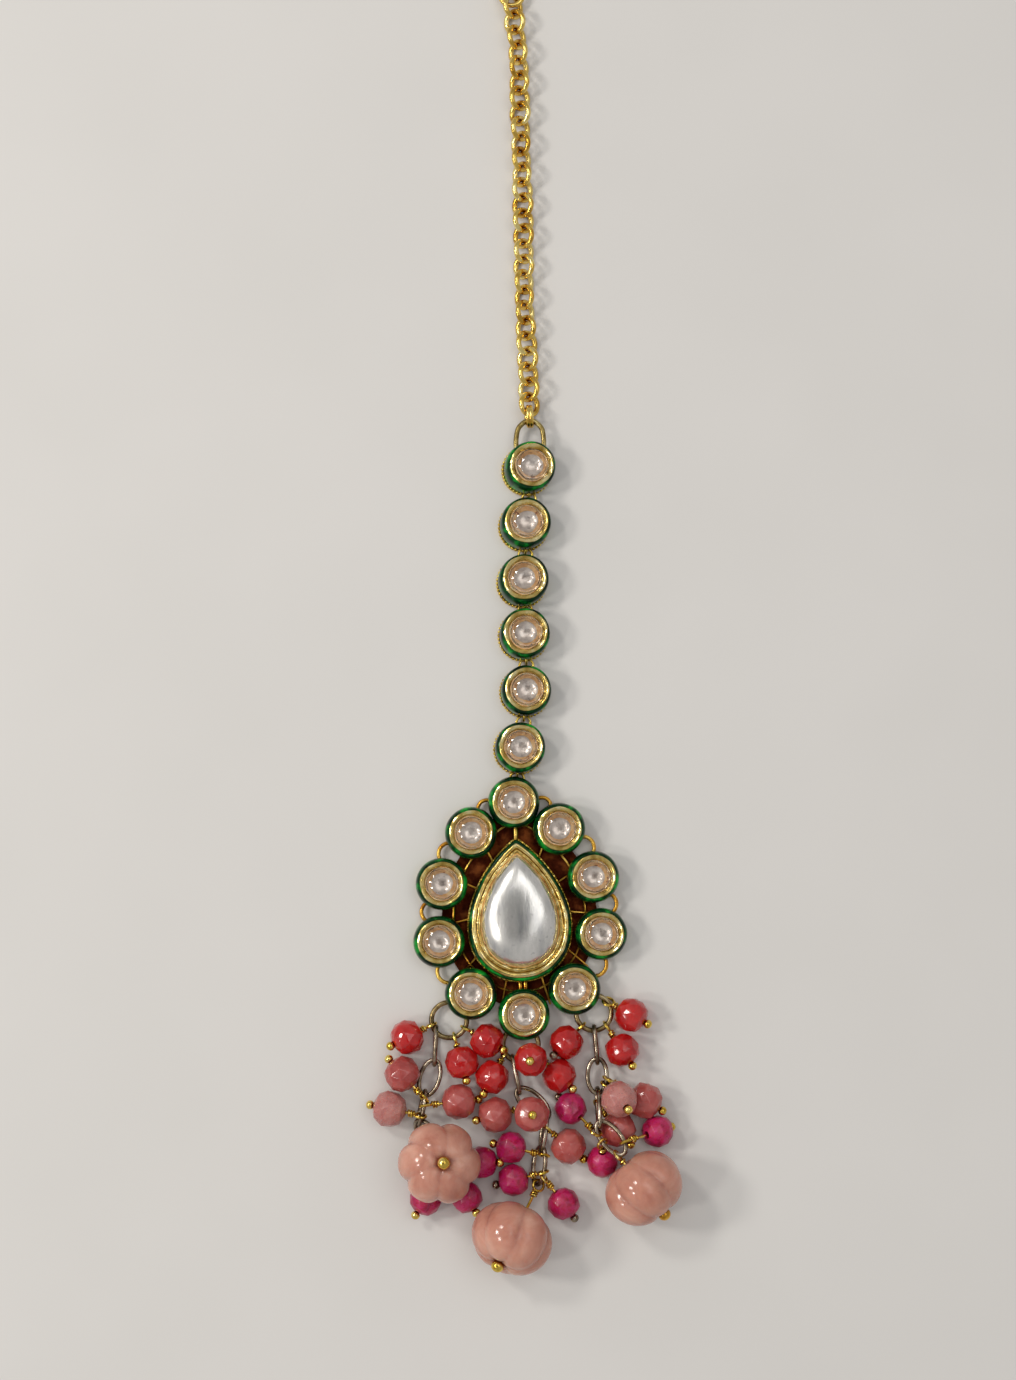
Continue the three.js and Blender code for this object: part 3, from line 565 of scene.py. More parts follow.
roundCup = {  # profiles are pairs of a radius and a height
    "plateRadius": 3.05, "plateTop": 0.5, "segments": 48,
    "grains": 42, "grainRadius": 0.2, "grainCircle": 3.04, "grainHeight": 0.5,
    "wall": [(2.9, 0.55), (3.02, 0.8), (3.1, 1.5), (3.12, 2.2), (3.1, 2.6), (3.02, 2.92), (2.88, 3.12),
             (2.68, 3.2)],
    "wideWall": [(3.0, 0.55), (3.16, 0.8), (3.24, 1.5), (3.24, 2.0), (3.19, 2.45), (3.07, 2.82), (2.9, 3.08),
                 (2.68, 3.18)],
    "rim": [(2.05, 2.75), (2.6, 2.9), (2.72, 3.08), (2.74, 3.26), (2.68, 3.4), (2.55, 3.46), (2.4, 3.4),
            (2.24, 3.24), (2.13, 3.08), (2.07, 2.96)],
    "peach": [(2.12, 3.0), (2.0, 2.98), (1.85, 2.92), (1.6, 2.76), (1.35, 2.64), (1.18, 2.575)],
    "silver": [(1.22, 2.585), (0.95, 2.485), (0.7, 2.43), (0.45, 2.395), (0.2, 2.38), (0.0, 2.38)],
    "dome": [(0.0, 2.6), (0.9, 2.68), (1.5, 2.86), (1.92, 3.04), (2.02, 3.12), (1.97, 3.19), (1.75, 3.36),
             (1.4, 3.53), (0.95, 3.66), (0.5, 3.72), (0.0, 3.74)],
    # How far hand work has pushed each surface about, and over what length
    "wallWaves": (0.03, 3.0), "rimWaves": (0.055, 2.6), "peachWaves": (0.03, 1.8),
}


def leaned(shape, lean, top):
    # The foot of a cup stands a little to one side of its rim
    points = np.array(shape[0], float)
    share = np.clip(1 - points[:, 2] / top, 0, 1)
    points[:, 0] += lean[0] * share
    points[:, 1] += lean[1] * share
    return points, shape[1]


def cupShapes(centre, lean, seed, wall):
    look, sides = roundCup, roundCup["segments"]
    top = look[wall][-1][1]
    radius, height = look["plateRadius"], look["plateTop"]
    plate = turned([(0, 0), (radius, 0), (radius, height), (0, height)], sides)
    grains = []
    for grain in range(look["grains"]):
        angle = 2 * math.pi * grain / look["grains"]
        x, y = look["grainCircle"] * math.cos(angle), look["grainCircle"] * math.sin(angle)
        grains.append(ball(look["grainRadius"], (x, y, look["grainHeight"]), rows=6, sides=8))
    shapes = {
        "plate": merged([plate, *grains]),
        "wall": roughened(turned(look[wall], sides), *look["wallWaves"], seed),
        "rim": roughened(turned(look["rim"], sides, closed=True), *look["rimWaves"], seed + 7),
        "peach": roughened(turned(look["peach"], sides), *look["peachWaves"], seed + 13),
        "silver": turned(look["silver"], sides),
        "dome": turned(look["dome"], sides),
    }
    spun = Matrix.Rotation(seed * 1.3, 3, "Z")
    for kind, (points, faces) in shapes.items():
        points = points @ np.array(spun).T
        if kind in ("plate", "wall", "rim"):
            points, faces = leaned((points, faces), lean, top)
        shapes[kind] = shifted((points, faces), centre.x, centre.y)
    return shapes


# Finish, slot and the name that the piece has when the pendant's ten cups are made as one
cupFinishes = {
    "plate": (plateGold, "setting_gold", "pendantCupPlates"),
    "wall": (greenEnamel, "green_enamel", "pendantCupWalls"),
    "rim": (rimGold, "setting_gold", "pendantCupRims"),
    "peach": (peachFoil, "foiled_glass", "pendantPeachFoil"),
    "silver": (silverFoil, "foiled_glass", "pendantSilverFoil"),
    "dome": (stoneGlass, "foiled_glass", "pendantGlass"),
}
stoneKinds = ("peach", "silver", "dome")

# How far the foot of each column cup stands out from under its rim
columnLeans = [(-0.75, -0.5), (-0.5, -0.55), (-0.45, -0.55), (-0.4, -0.45), (-0.35, -0.35), (-0.35, -0.35)]

couplers = {"wire": 0.15, "height": 0.63, "reach": 0.33, "loopRadius": 0.87,
            "hookRadius": 0.48, "hookStretch": 0.35}


def coupling(lower, upper):
    # The loop of the lower setting lies flat inside the upright hook of the upper one
    toUpper = Vector((upper.x - lower.x, upper.y - lower.y, 0))
    half = toUpper.length / 2
    toUpper.normalize()
    across = upward.cross(toUpper)
    reach = half + couplers["reach"]
    loopAt = Vector((lower.x, lower.y, couplers["height"])) + toUpper * (reach - couplers["loopRadius"])
    hookLength = couplers["hookRadius"] + couplers["hookStretch"]
    hookAt = Vector((upper.x, upper.y, couplers["height"])) - toUpper * (reach - hookLength)
    loop = ovalRing(couplers["loopRadius"], couplers["loopRadius"], couplers["wire"], 28, 10)
    hook = ovalRing(hookLength, couplers["hookRadius"], couplers["wire"], 28, 10)
    return laid(loop, toUpper, across, loopAt), laid(hook, -toUpper, upward, hookAt)


def makeColumn(pendantTop):
    centres = [middleOf(f"setting_stone_{number}") for number in range(1, 7)] + [pendantTop]
    for index, centre in enumerate(centres[:-1]):
        shapes = cupShapes(centre, columnLeans[index], index + 1, "wall")
        for kind, shape in shapes.items():
            finish, slotName, _ = cupFinishes[kind]
            node = f"setting_stone_{index + 1}" if kind in stoneKinds else f"setting_{index + 1}"
            makePiece(f"cup{index + 1}_{kind}", shape, finish, [node])
    loops = []
    for upper, lower in zip(centres[:-1], centres[1:]):
        loops += coupling(lower, upper)
    makePiece("columnCouplings", loops, plateGold)


# Pendant: a dark plate (its near-black red-brown is painted shade for the gaps) with ten cups round it, a
# lattice and scrolls between, and the teardrop stone

pendant = {
    "x": -1.0, "y": -27.38, "turn": 2.7,
    "cups": [(0, 13.1), (5.5, 9.56), (9.45, 3.4), (10.1, -3.75), (6.44, -10.4), (0, -13.26), (-6.44, -10.4),
             (-10.1, -3.75), (-9.45, 3.4), (-5.5, 9.56)],
    "lowestCup": 5, "cupLean": (-0.1, -0.1),
    # Rows of the plate, from its edge inwards: share of the way out from the middle, and height
    "plateRows": [(0.94, 0.15), (0.94, 0.34), (0.8, 0.37), (0.6, 0.32), (0.45, 0.34)],
    # Along a spoke of the lattice: share of the way out, and height
    "spokes": 11, "spokeWire": 0.13, "spokeLine": [(0.5, 0.4), (0.75, 0.5), (0.98, 0.4)],
    "ringShare": 0.8, "ringHeight": 0.5,
    # Over the gap between two cups: share of the way across, and how far out
    "scrollWire": 0.25, "scrollHeight": 0.9,
    "scrolls": [(0.32, 1.4), (0.38, 2.1), (0.5, 2.42), (0.62, 2.1), (0.68, 1.4)],
    # Ties from the teardrop to the cups above and below it: where across, and from where to where along
    "bridgeWire": 0.3, "bridgeEnds": 0.8, "bridgeMiddle": 0.95,
    "bridges": [(-0.3, -10.9, -9.1), (0.35, -10.9, -9.1), (0.0, 8.2, 10.3)],
    "plateWaves": (0.05, 1.6), "latticeWaves": (0.04, 1.5),
}


def onPendant(across, along, z=0.0):
    turn = math.radians(pendant["turn"])
    return spot(pendant["x"] + across * math.cos(turn) - along * math.sin(turn),
                pendant["y"] + across * math.sin(turn) + along * math.cos(turn), z)


def turnedOnPendant(shape):
    turn = math.radians(pendant["turn"])
    across, along = (math.cos(turn), math.sin(turn), 0), (-math.sin(turn), math.cos(turn), 0)
    return laid(shape, across, along, onPendant(0, 0))


def makePendantCups():
    kinds = {kind: [] for kind in cupFinishes}
    for number, place in enumerate(pendant["cups"]):
        shapes = cupShapes(onPendant(*place), pendant["cupLean"], 20 + number, "wideWall")
        for kind, shape in shapes.items():
            kinds[kind].append(shape)
    for kind, shapes in kinds.items():
        finish, slotName, name = cupFinishes[kind]
        makePiece(name, shapes, finish, ["pendant_frame"])


def makePendantPlate():
    # The edge runs smoothly through the middles of the cups
    edge = smoothPath([(across, along, 0) for across, along in pendant["cups"]], 10, closed=True)
    rows = pendant["plateRows"]
    points = [(x * share, y * share, z) for share, z in rows for x, y, _ in edge]
    plate = turnedOnPendant((np.array(points), grid(len(rows), len(edge))))
    plate = roughened(plate, *pendant["plateWaves"], 3)
    # Its finish is painted shade for the dark gaps between the cups
    makePiece("pendantPlate", plate, gapShadePlate, ["pendant_frame"])


def makeLattice():
    edge = smoothPath([(across, along, 0) for across, along in pendant["cups"]], 12, closed=True)
    wires = []
    for spoke in range(pendant["spokes"]):
        x, y, _ = edge[int(spoke * len(edge) / pendant["spokes"])]
        line = [(x * share, y * share, z) for share, z in pendant["spokeLine"]]
        wires.append(wireAlong(line, pendant["spokeWire"], 8))
    share = pendant["ringShare"]
    ring = [(x * share, y * share, pendant["ringHeight"]) for x, y, _ in edge]
    wires.append(wireAlong(ring, pendant["spokeWire"], 8, closed=True))
    ends, middle = pendant["bridgeEnds"], pendant["bridgeMiddle"]
    for x, low, high in pendant["bridges"]:
        line = [(x, low, ends), (x, (low + high) / 2, middle), (x, high, ends)]
        wires.append(wireAlong(line, pendant["bridgeWire"], 10))
    lattice = roughened(turnedOnPendant(merged(wires)), *pendant["latticeWaves"], 5)
    makePiece("pendantLattice", lattice, latticeGold, ["pendant_frame"])


def makeScrolls():
    cups = pendant["cups"]
    arcs = []
    for index in range(len(cups)):
        after = (index + 1) % len(cups)
        if pendant["lowestCup"] in (index, after):
            continue  # the tassels hang there instead
        here, there = np.array(cups[index]), np.array(cups[after])
        span = np.linalg.norm(there - here)
        along = (there - here) / span
        outward = np.array([along[1], -along[0]])
        if outward @ (here + there) < 0:
            outward = -outward
        path = [here + along * span * share + outward * out for share, out in pendant["scrolls"]]
        path = smoothPath([(x, y, pendant["scrollHeight"]) for x, y in path], 8)
        arcs.append(wireAlong(path, pendant["scrollWire"], 10))
    makePiece("pendantScrolls", turnedOnPendant(merged(arcs)), latticeGold, ["pendant_frame"])


teardrop = {
    "halfWidth": 6.45, "halfLength": 8.85, "middle": -0.35, "pinch": 0.65, "steps": 96,
    "endInset": 1.15,  # a band lies this much further in at the tip and the foot than at its sides
    # Rows of each band: how far in from the outline, and height
    "plate": [(0.3, 0.15), (-0.12, 0.2), (-0.12, 0.5), (0.2, 0.58)],
    "wall": [(0.12, 0.5), (0.05, 1.2), (0.05, 2.4), (0.1, 2.85), (0.22, 3.1), (0.36, 3.2), (0.52, 3.18)],
    "rim": [(0.42, 3.05), (0.4, 3.3), (0.5, 3.5), (0.68, 3.56), (0.88, 3.5), (1.0, 3.32), (1.06, 3.08)],
    "foil": [(0.98, 3.1), (1.08, 3.34), (1.24, 3.43), (1.42, 3.37), (1.54, 3.24), (1.62, 3.08)],
    "peach": [(1.5, 3.1), (1.6, 3.21), (1.68, 3.16), (1.74, 3.0)],
    # Rows of the stone: share of its outline, and height
    "stoneInset": 1.66, "stoneDrop": 0.9,
    "stone": [(1.0, 3.0), (0.998, 3.3), (0.98, 3.7), (0.94, 4.08), (0.87, 4.44), (0.78, 4.73), (0.67, 4.96),
              (0.54, 5.14), (0.4, 5.26), (0.25, 5.34), (0.1, 5.375)],
    "crownRise": 0.005,
    "grains": 74, "grainRadius": 0.19, "grainInset": -0.02, "grainHeight": 0.58,
    "wallWaves": (0.05, 4.0), "rimWaves": (0.06, 3.0), "foilWaves": (0.06, 1.5), "peachWaves": (0.05, 1.6),
}


def teardropRow(inset, z, share=1.0):
    # A row starts at the tip, at the top of the pendant. As its share of the stone's outline falls, it turns
    # into an oval that lies a little lower.
    angles = np.arange(teardrop["steps"]) * 2 * math.pi / teardrop["steps"]
    pinch = teardrop["pinch"] * share ** 2
    halfTurn = np.linspace(0, math.pi, 400)
    widest = (np.sin(halfTurn) * np.sin(halfTurn / 2) ** pinch).max()
    bulge = np.sin(angles) * np.abs(np.sin(angles / 2)) ** pinch / widest
    x = (teardrop["halfWidth"] - inset) * bulge * share
    y = (teardrop["halfLength"] - inset * teardrop["endInset"]) * np.cos(angles) * share
    y = y + teardrop["middle"] - teardrop["stoneDrop"] * (1 - share)
    return np.stack([x, y, np.full(len(x), z)], axis=1)


def teardropBand(kind):
    rows = teardrop[kind]
    points = np.concatenate([teardropRow(inset, z) for inset, z in rows])
    return points, grid(len(rows), teardrop["steps"])


def teardropPlate():
    edge = teardropRow(teardrop["grainInset"], teardrop["grainHeight"])
    places, _ = evenlyAlong(np.concatenate([edge, edge[:1]]), teardrop["grains"] + 1)
    grains = [ball(teardrop["grainRadius"], place, rows=6, sides=8) for place in places[:-1]]
    return merged([teardropBand("plate"), *grains])


def teardropStone():
    rows, steps = teardrop["stone"], teardrop["steps"]
    loops = [teardropRow(teardrop["stoneInset"], z, share) for share, z in rows]
    crown = loops[-1].mean(axis=0) + np.array([0, 0, teardrop["crownRise"]])
    first, last = (len(rows) - 1) * steps, len(rows) * steps
    faces = grid(len(rows), steps) + [[first + k, first + (k + 1) % steps, last] for k in range(steps)]
    return np.concatenate([*loops, [crown]]), faces


def makeTeardrop():
    frameNode, stoneNode = "pendant_frame", "teardrop_stone"
    wall = roughened(teardropBand("wall"), *teardrop["wallWaves"], 31)
    rim = roughened(teardropBand("rim"), *teardrop["rimWaves"], 33)
    foil = roughened(teardropBand("foil"), *teardrop["foilWaves"], 35)
    peach = roughened(teardropBand("peach"), *teardrop["peachWaves"], 37)
    bands = [
        ("teardropPlate", teardropPlate(), plateGold, "setting_gold", frameNode),
        ("teardropWall", wall, greenEnamel, "green_enamel", frameNode),
        ("teardropRim", rim, rimGold, "setting_gold", frameNode),
        ("teardropFoil", foil, crinkledFoil, "setting_gold", frameNode),
        ("teardropPeach", peach, peachFoil, "foiled_glass", stoneNode),
        ("teardropStone", teardropStone(), teardropSilver, "foiled_glass", stoneNode),
    ]
    for name, shape, finish, slotName, node in bands:
        makePiece(name, turnedOnPendant(shape), finish, [node], sharpAngle=60)


makeColumn(onPendant(*pendant["cups"][0]))
print("column of six cups made")
makePendantPlate()
makeLattice()
makeScrolls()
makePendantCups()
makeTeardrop()
print("pendant made")


# Tassels: a wire ring, a run of oval links, and beads hung on looped pins

# Ring: middle. Joints: where each oval link ends and the next begins, and rolls are degrees from lying flat.
tassels = {
    "left": {"ring": (-9.7, -41.4, 0.95), "rolls": [90, 5, 80, 35, 0],
             "joints": [(-11.3, -42.5, 1.3), (-11.5, -46.6, 1.8), (-12.7, -50.4, 1.6), (-13.4, -54.0, 1.5),
                        (-11.5, -57.0, 1.25), (-9.6, -60.2, 1.15)]},
    "middle": {"ring": (-0.8, -44.4, 0.95), "rolls": [90, 5, 80, 55],
               "joints": [(-1.78, -46.1, 1.3), (-0.95, -50.1, 1.8), (2.35, -53.2, 1.6), (1.75, -57.25, 1.6),
                          (1.25, -61.4, 1.5)]},
    "right": {"ring": (8.3, -40.5, 0.95), "rolls": [90, 5, 85, 5],
              "joints": [(8.36, -42.45, 1.3), (8.7, -46.4, 1.8), (8.7, -50.1, 1.7), (8.9, -54.0, 4.2),
                         (11.65, -57.3, 5.0)]},
}
tasselWires = {"ringRadius": 2.2, "ringWire": 0.32, "linkWidth": 1.2, "linkWire": 0.28, "overlap": 0.3}

# Each drop: bead, wire it hangs on (0 is the ring), and where on the table the pin takes hold of it
drops = {
    "left": [("bead_red_1", 0, -11.9, -42.0), ("bead_red_2", 0, -9.0, -43.6), ("bead_red_3", 0, -7.8, -42.4),
             ("bead_pink_1", 3, -12.8, -51.2), ("bead_pink_2", 3, -13.7, -52.8),
             ("bead_pink_3", 3, -12.7, -51.9), ("bead_magenta_1", 5, -8.9, -58.9),
             ("bead_magenta_2", 5, -9.2, -60.6), ("bead_magenta_3", 5, -10.6, -60.6),
             ("melon_bead_1", 5, -11.6, -59.1)],
    "middle": [("bead_red_4", 0, -2.8, -45.4), ("bead_red_5", 0, 0.6, -46.1), ("bead_red_6", 0, 1.2, -45.4),
               ("bead_pink_4", 2, -0.5, -52.2), ("bead_pink_5", 2, 0.6, -52.7),
               ("bead_pink_6", 3, 2.6, -54.8),
               ("bead_magenta_4", 4, 1.0, -58.2), ("bead_magenta_5", 4, 0.9, -59.8),
               ("bead_magenta_6", 4, 2.1, -60.6), ("melon_bead_2", 4, 1.2, -61.8)],
    "right": [("bead_red_7", 0, 6.8, -42.1), ("bead_red_8", 0, 10.0, -39.0), ("bead_red_9", 0, 9.9, -42.1),
              ("bead_pink_7", 2, 9.6, -49.2), ("bead_pink_8", 2, 10.2, -48.6), ("bead_pink_9", 3, 8.7, -51.5),
              ("bead_magenta_7", 4, 9.0, -55.2), ("bead_magenta_8", 4, 12.0, -56.5),
              ("bead_magenta_9", 4, 9.4, -56.6), ("melon_bead_3", 4, 11.6, -57.6)],
}
pins = {
    "wire": 0.18, "loopRadius": 0.7, "loopOffset": 0.21, "height": 2.2,
    "wraps": 2.6, "wrapRadius": 0.33, "wrapStart": 0.05, "wrapPitch": 1.85, "wrapThickness": 0.85,
    "wrapSpace": 1.9, "clearOfBead": 0.15, "leastRoom": 0.3,
    "smallHead": 0.56, "bigHead": 0.8, "headSquash": 0.92, "headGap": 0.8,
}
beadForms = {
    "hole": 0.42, "lip": 0.12, "softEdge": 0.07,
    # Belts of corners on a cut bead: share of its radius, share of its half length, and turn in facets
    "belts": [(0.74, -0.8, 0), (1.0, -0.3, 0.5), (1.0, 0.3, 0), (0.74, 0.8, 0.5)],
    "holeEnd": 0.9, "sideWobble": 0.035, "endWobble": 0.06,
    "red": {"radius": 2.1, "half": 1.95, "sides": 9},
    "pink": {"radius": 2.2, "half": 2.05, "sides": 9},
    "magenta": {"radius": 1.95, "half": 1.82, "sides": 10},
    "melon": {
        "radius": 5.1, "half": 4.1, "holeEnd": 2.9, "rows": 48, "sides": 144, "lobes": 6, "curl": 0.16,
        "shoulder": 0.85, "grooveWidth": 1.6, "grooves": {"melon_bead_1": 0.14, "melon_bead_2": 0.115,
                                                          "melon_bead_3": 0.12},
        # The hollow round the hole, and the shallow one where the grooves run into it
        "dimple": 0.7, "dimpleReach": 1.25, "dish": 0.2, "dishAt": 1.8, "dishReach": 1.6,
        "headSink": 0.1, "holeSink": 0.25,
    },
}


def tasselWire(tassel, number):
    # Middle, direction, flat side, half length and half width of the ring or of a link
    if number == 0:
        radius = tasselWires["ringRadius"]
        return spot(*tassel["ring"]), Vector((1, 0, 0)), Vector((0, 1, 0)), radius, radius
    first, second = (spot(*joint) for joint in tassel["joints"][number - 1:number + 1])
    along = (second - first).normalized()
    side = rolledSide(along, tassel["rolls"][number - 1])
    halfLength = (second - first).length / 2 + tasselWires["overlap"]
    return (first + second) / 2, along, side, halfLength, tasselWires["linkWidth"]


def holdPoint(tassel, number, atX, atY):
    # The point of the wire that lies nearest to the wanted one, and the way the wire runs there
    centre, along, side, halfLength, halfWidth = tasselWire(tassel, number)
    wanted = spot(atX, atY, pins["height"])
    samples = 120
    nearest = None
    for step in range(samples):
        turn = 2 * math.pi * step / samples
        point = centre + along * halfLength * math.cos(turn) + side * halfWidth * math.sin(turn)
        if nearest is None or (point - wanted).length < nearest[0]:
            tangent = side * halfWidth * math.cos(turn) - along * halfLength * math.sin(turn)
            nearest = ((point - wanted).length, point, tangent.normalized())
    return nearest[1], nearest[2]


def facetedBead(form, seed):
    # Flat facets between belts of corners, each belt a little uneven, as on a pressed or cut bead
    rng = random.Random(seed)
    sides, radius, half = form["sides"], form["radius"], form["half"]
    hole, lip, holeEnd = beadForms["hole"], beadForms["hole"] + beadForms["lip"], half * beadForms["holeEnd"]
    rings = [(hole, -holeEnd, 0), (lip, -half, 0)]
    rings += [(radius * reach, half * z, shift) for reach, z, shift in beadForms["belts"]]
    rings += [(lip, half, 0.5), (hole, holeEnd, 0.5)]
    points = []
    for reach, z, shift in rings:
        uneven = 1 if reach > 1 else 0
        for side in range(sides):
            turn = 2 * math.pi * (side + shift) / sides
            around, up = 0, 0
            if uneven:
                around = rng.uniform(-beadForms["sideWobble"], beadForms["sideWobble"])
                up = rng.uniform(-beadForms["endWobble"], beadForms["endWobble"])
            outward = reach * (1 + around)
            points.append([outward * math.cos(turn), outward * math.sin(turn), z + up])
    faces = []
    for row in range(len(rings) - 1):
        low, high = row * sides, (row + 1) * sides
        skew = rings[row + 1][2] - rings[row][2]
        for k in range(sides):
            n = (k + 1) % sides
            if skew == 0:
                faces.append([low + k, low + n, high + n, high + k])
            elif skew > 0:
                faces += [[low + k, low + n, high + k], [low + n, high + n, high + k]]
            else:
                faces += [[low + k, high + n, high + k], [low + k, low + n, high + n]]
    last = (len(rings) - 1) * sides  # the inside of the hole closes the form
    faces += [[(k + 1) % sides, k, last + k, last + (k + 1) % sides] for k in range(sides)]
    return np.array(points), faces


def melonBead(form, name):
    # Six swollen lobes with deep grooves that run from pole to pole and curl a little
    radius, half, sides, hole = form["radius"], form["half"], form["sides"], beadForms["hole"]
    profile = [(hole, -form["holeEnd"])]
    for step in range(form["rows"] + 1):
        angle = -math.pi / 2 + math.pi * step / form["rows"]
        reach = radius * math.cos(angle) ** form["shoulder"]
        profile.append((max(hole, reach), half * math.sin(angle)))
    profile.append((hole, form["holeEnd"]))
    points = []
    for reach, z in profile:
        dimple = form["dimple"] * math.exp(-(reach / form["dimpleReach"]) ** 2)
        dish = form["dish"] * math.exp(-((reach - form["dishAt"]) / form["dishReach"]) ** 2)
        for side in range(sides):
            turn = 2 * math.pi * side / sides
            groove = 1 - abs(math.cos(form["lobes"] / 2 * (turn + form["curl"] * z / half)))
            dip = form["grooves"][name] * groove ** form["grooveWidth"] * (reach / radius) ** 1.2
            outward = reach * (1 - dip)
            sunk = min(abs(z), dimple + dish * groove)
            points.append([outward * math.cos(turn), outward * math.sin(turn), z - math.copysign(sunk, z)])
    return np.array(points), grid(len(profile), sides, closedRows=True)


def makePin(tassel, name, number, atX, atY, kind):
    # A looped wire through the bead, wrapped at its neck, with a round head at the far end
    bead, form = middleOf(name), beadForms[kind]
    melon = kind == "melon"
    radius = pins["bigHead"] if melon else pins["smallHead"]
    point, tangent = holdPoint(tassel, number, atX, atY)
    loopAt = point + (bead - point).normalized() * pins["loopOffset"]
    toBead = (bead - loopAt).normalized()
    across = tangent.cross(toBead).normalized()
    loop = ovalRing(pins["loopRadius"], pins["loopRadius"], pins["wire"], 24, 8)
    neck = loopAt + toBead * pins["loopRadius"]
    beadEnd = bead - toBead * (form["half"] - form["holeSink"] if melon else form["half"])
    headReach = form["half"] - form["headSink"] if melon else form["half"] + radius * pins["headGap"]
    headAt = bead + toBead * headReach
    other = toBead.cross(across)
    room = max((beadEnd - neck).length - pins["clearOfBead"], pins["leastRoom"])
    turns = min(pins["wraps"], room / (pins["wire"] * pins["wrapSpace"]))
    wraps = []
    for step in range(int(16 * turns) + 1):
        turn = step / 16
        outward = across * math.cos(2 * math.pi * turn) + other * math.sin(2 * math.pi * turn)
        reach = pins["wrapStart"] + pins["wire"] * pins["wrapPitch"] * turn
        wraps.append(neck + toBead * reach + outward * pins["wrapRadius"])
    shank = [neck + (headAt - neck) * share for share in (0, 0.25, 0.5, 0.75, 1)]
    wires = [laid(loop, toBead, across, loopAt), wireAlong(shank, pins["wire"], 8),
             wireAlong(wraps, pins["wire"] * pins["wrapThickness"], 8)]
    head = ball(radius, rows=11, sides=18, squash=pins["headSquash"])
    return wires, laid(head, across, other, headAt), toBead, bead


beadTints = {
    "red": beadFinish("coralGlass", {
        "deep": (0.5, 0.007, 0.009), "middle": (0.7, 0.014, 0.015), "bright": (0.84, 0.045, 0.038),
        "patch": 2.4, "smooth": 0.08, "rough": 0.2, "pit": 0.5, "pitBump": 0.08,
        "glow": 0.4, "glowReach": 0.8, "glowColour": (1.0, 0.25, 0.15), "coat": 0.5, "clear": 0.45}),
    "pink": beadFinish("roseStone", {
        "deep": (0.42, 0.06, 0.055), "middle": (0.53, 0.105, 0.095), "bright": (0.64, 0.18, 0.155),
        "patch": 2.4, "smooth": 0.14, "rough": 0.28, "pit": 0.4, "pitBump": 0.15,
        "glow": 0.5, "glowReach": 0.8, "glowColour": (1.0, 0.45, 0.35), "coat": 0.3, "clear": 0.25}),
    "palePink": beadFinish("paleRoseStone", {
        "deep": (0.46, 0.14, 0.13), "middle": (0.57, 0.22, 0.2), "bright": (0.68, 0.32, 0.28),
        "patch": 2.4, "smooth": 0.22, "rough": 0.38, "pit": 0.4, "pitBump": 0.15,
        "glow": 0.5, "glowReach": 0.9, "glowColour": (1.0, 0.5, 0.4), "coat": 0.3, "clear": 0.25,
        "place": (2.0, 1.0, 0.5)}),
    "magenta": beadFinish("magentaStone", {
        "deep": (0.18, 0.001, 0.02), "middle": (0.42, 0.004, 0.055), "bright": (0.56, 0.01, 0.14),
        "patch": 1.8, "vein": (0.52, 0.05, 0.26), "veinShare": 0.3,
        "smooth": 0.26, "rough": 0.42, "pit": 0.35, "pitBump": 0.15,
        "glow": 0.3, "glowReach": 0.5, "glowColour": (1.0, 0.3, 0.5), "coat": 0.15}),
    "melon": beadFinish("peachGlass", {
        "deep": (0.42, 0.18, 0.13), "middle": (0.52, 0.26, 0.195), "bright": (0.62, 0.36, 0.28),
        "patch": 4.0, "smooth": 0.12, "rough": 0.2, "pit": 1.6, "pitBump": 0.05,
        "glow": 1.0, "glowReach": 4.5, "glowColour": (1.0, 0.6, 0.45), "coat": 0.0,
        "groove": (0.5, 0.25, 0.2), "grooveReach": 1.3}),
}
paleBeads = ("bead_pink_2", "bead_pink_7")
silverHeads = {"bead_red_7", "bead_magenta_5", "bead_magenta_6", "bead_magenta_7"}
orangeHeads = {"melon_bead_3"}



def headKind(name):
    if name in silverHeads:
        return "Grey"
    return "Orange" if name in orangeHeads else "Gold"


def makeBead(name, kind, toBead, centre):
    seed = sum(ord(letter) * (place + 3) for place, letter in enumerate(name))
    side = toBead.cross(Vector((0.3, 0.2, 0.93))).normalized()
    turn = random.Random(seed).uniform(0, 1)
    side = side * math.cos(turn) + toBead.cross(side) * math.sin(turn)
    melon = kind == "melon"
    points, faces = melonBead(beadForms["melon"], name) if melon else facetedBead(beadForms[kind], seed)
    shape = laid((points[:, [2, 0, 1]], faces), toBead, side, centre)  # its hole runs along the pin
    finish = beadTints["palePink" if name in paleBeads else kind]
    if melon:
        makePiece(name + "_glass", shape, finish, [name], sharpAngle=180)
    else:
        bevel = beadForms["softEdge"]
        makePiece(name + "_cut", shape, finish, [name], sharpAngle=14, bevel=bevel)


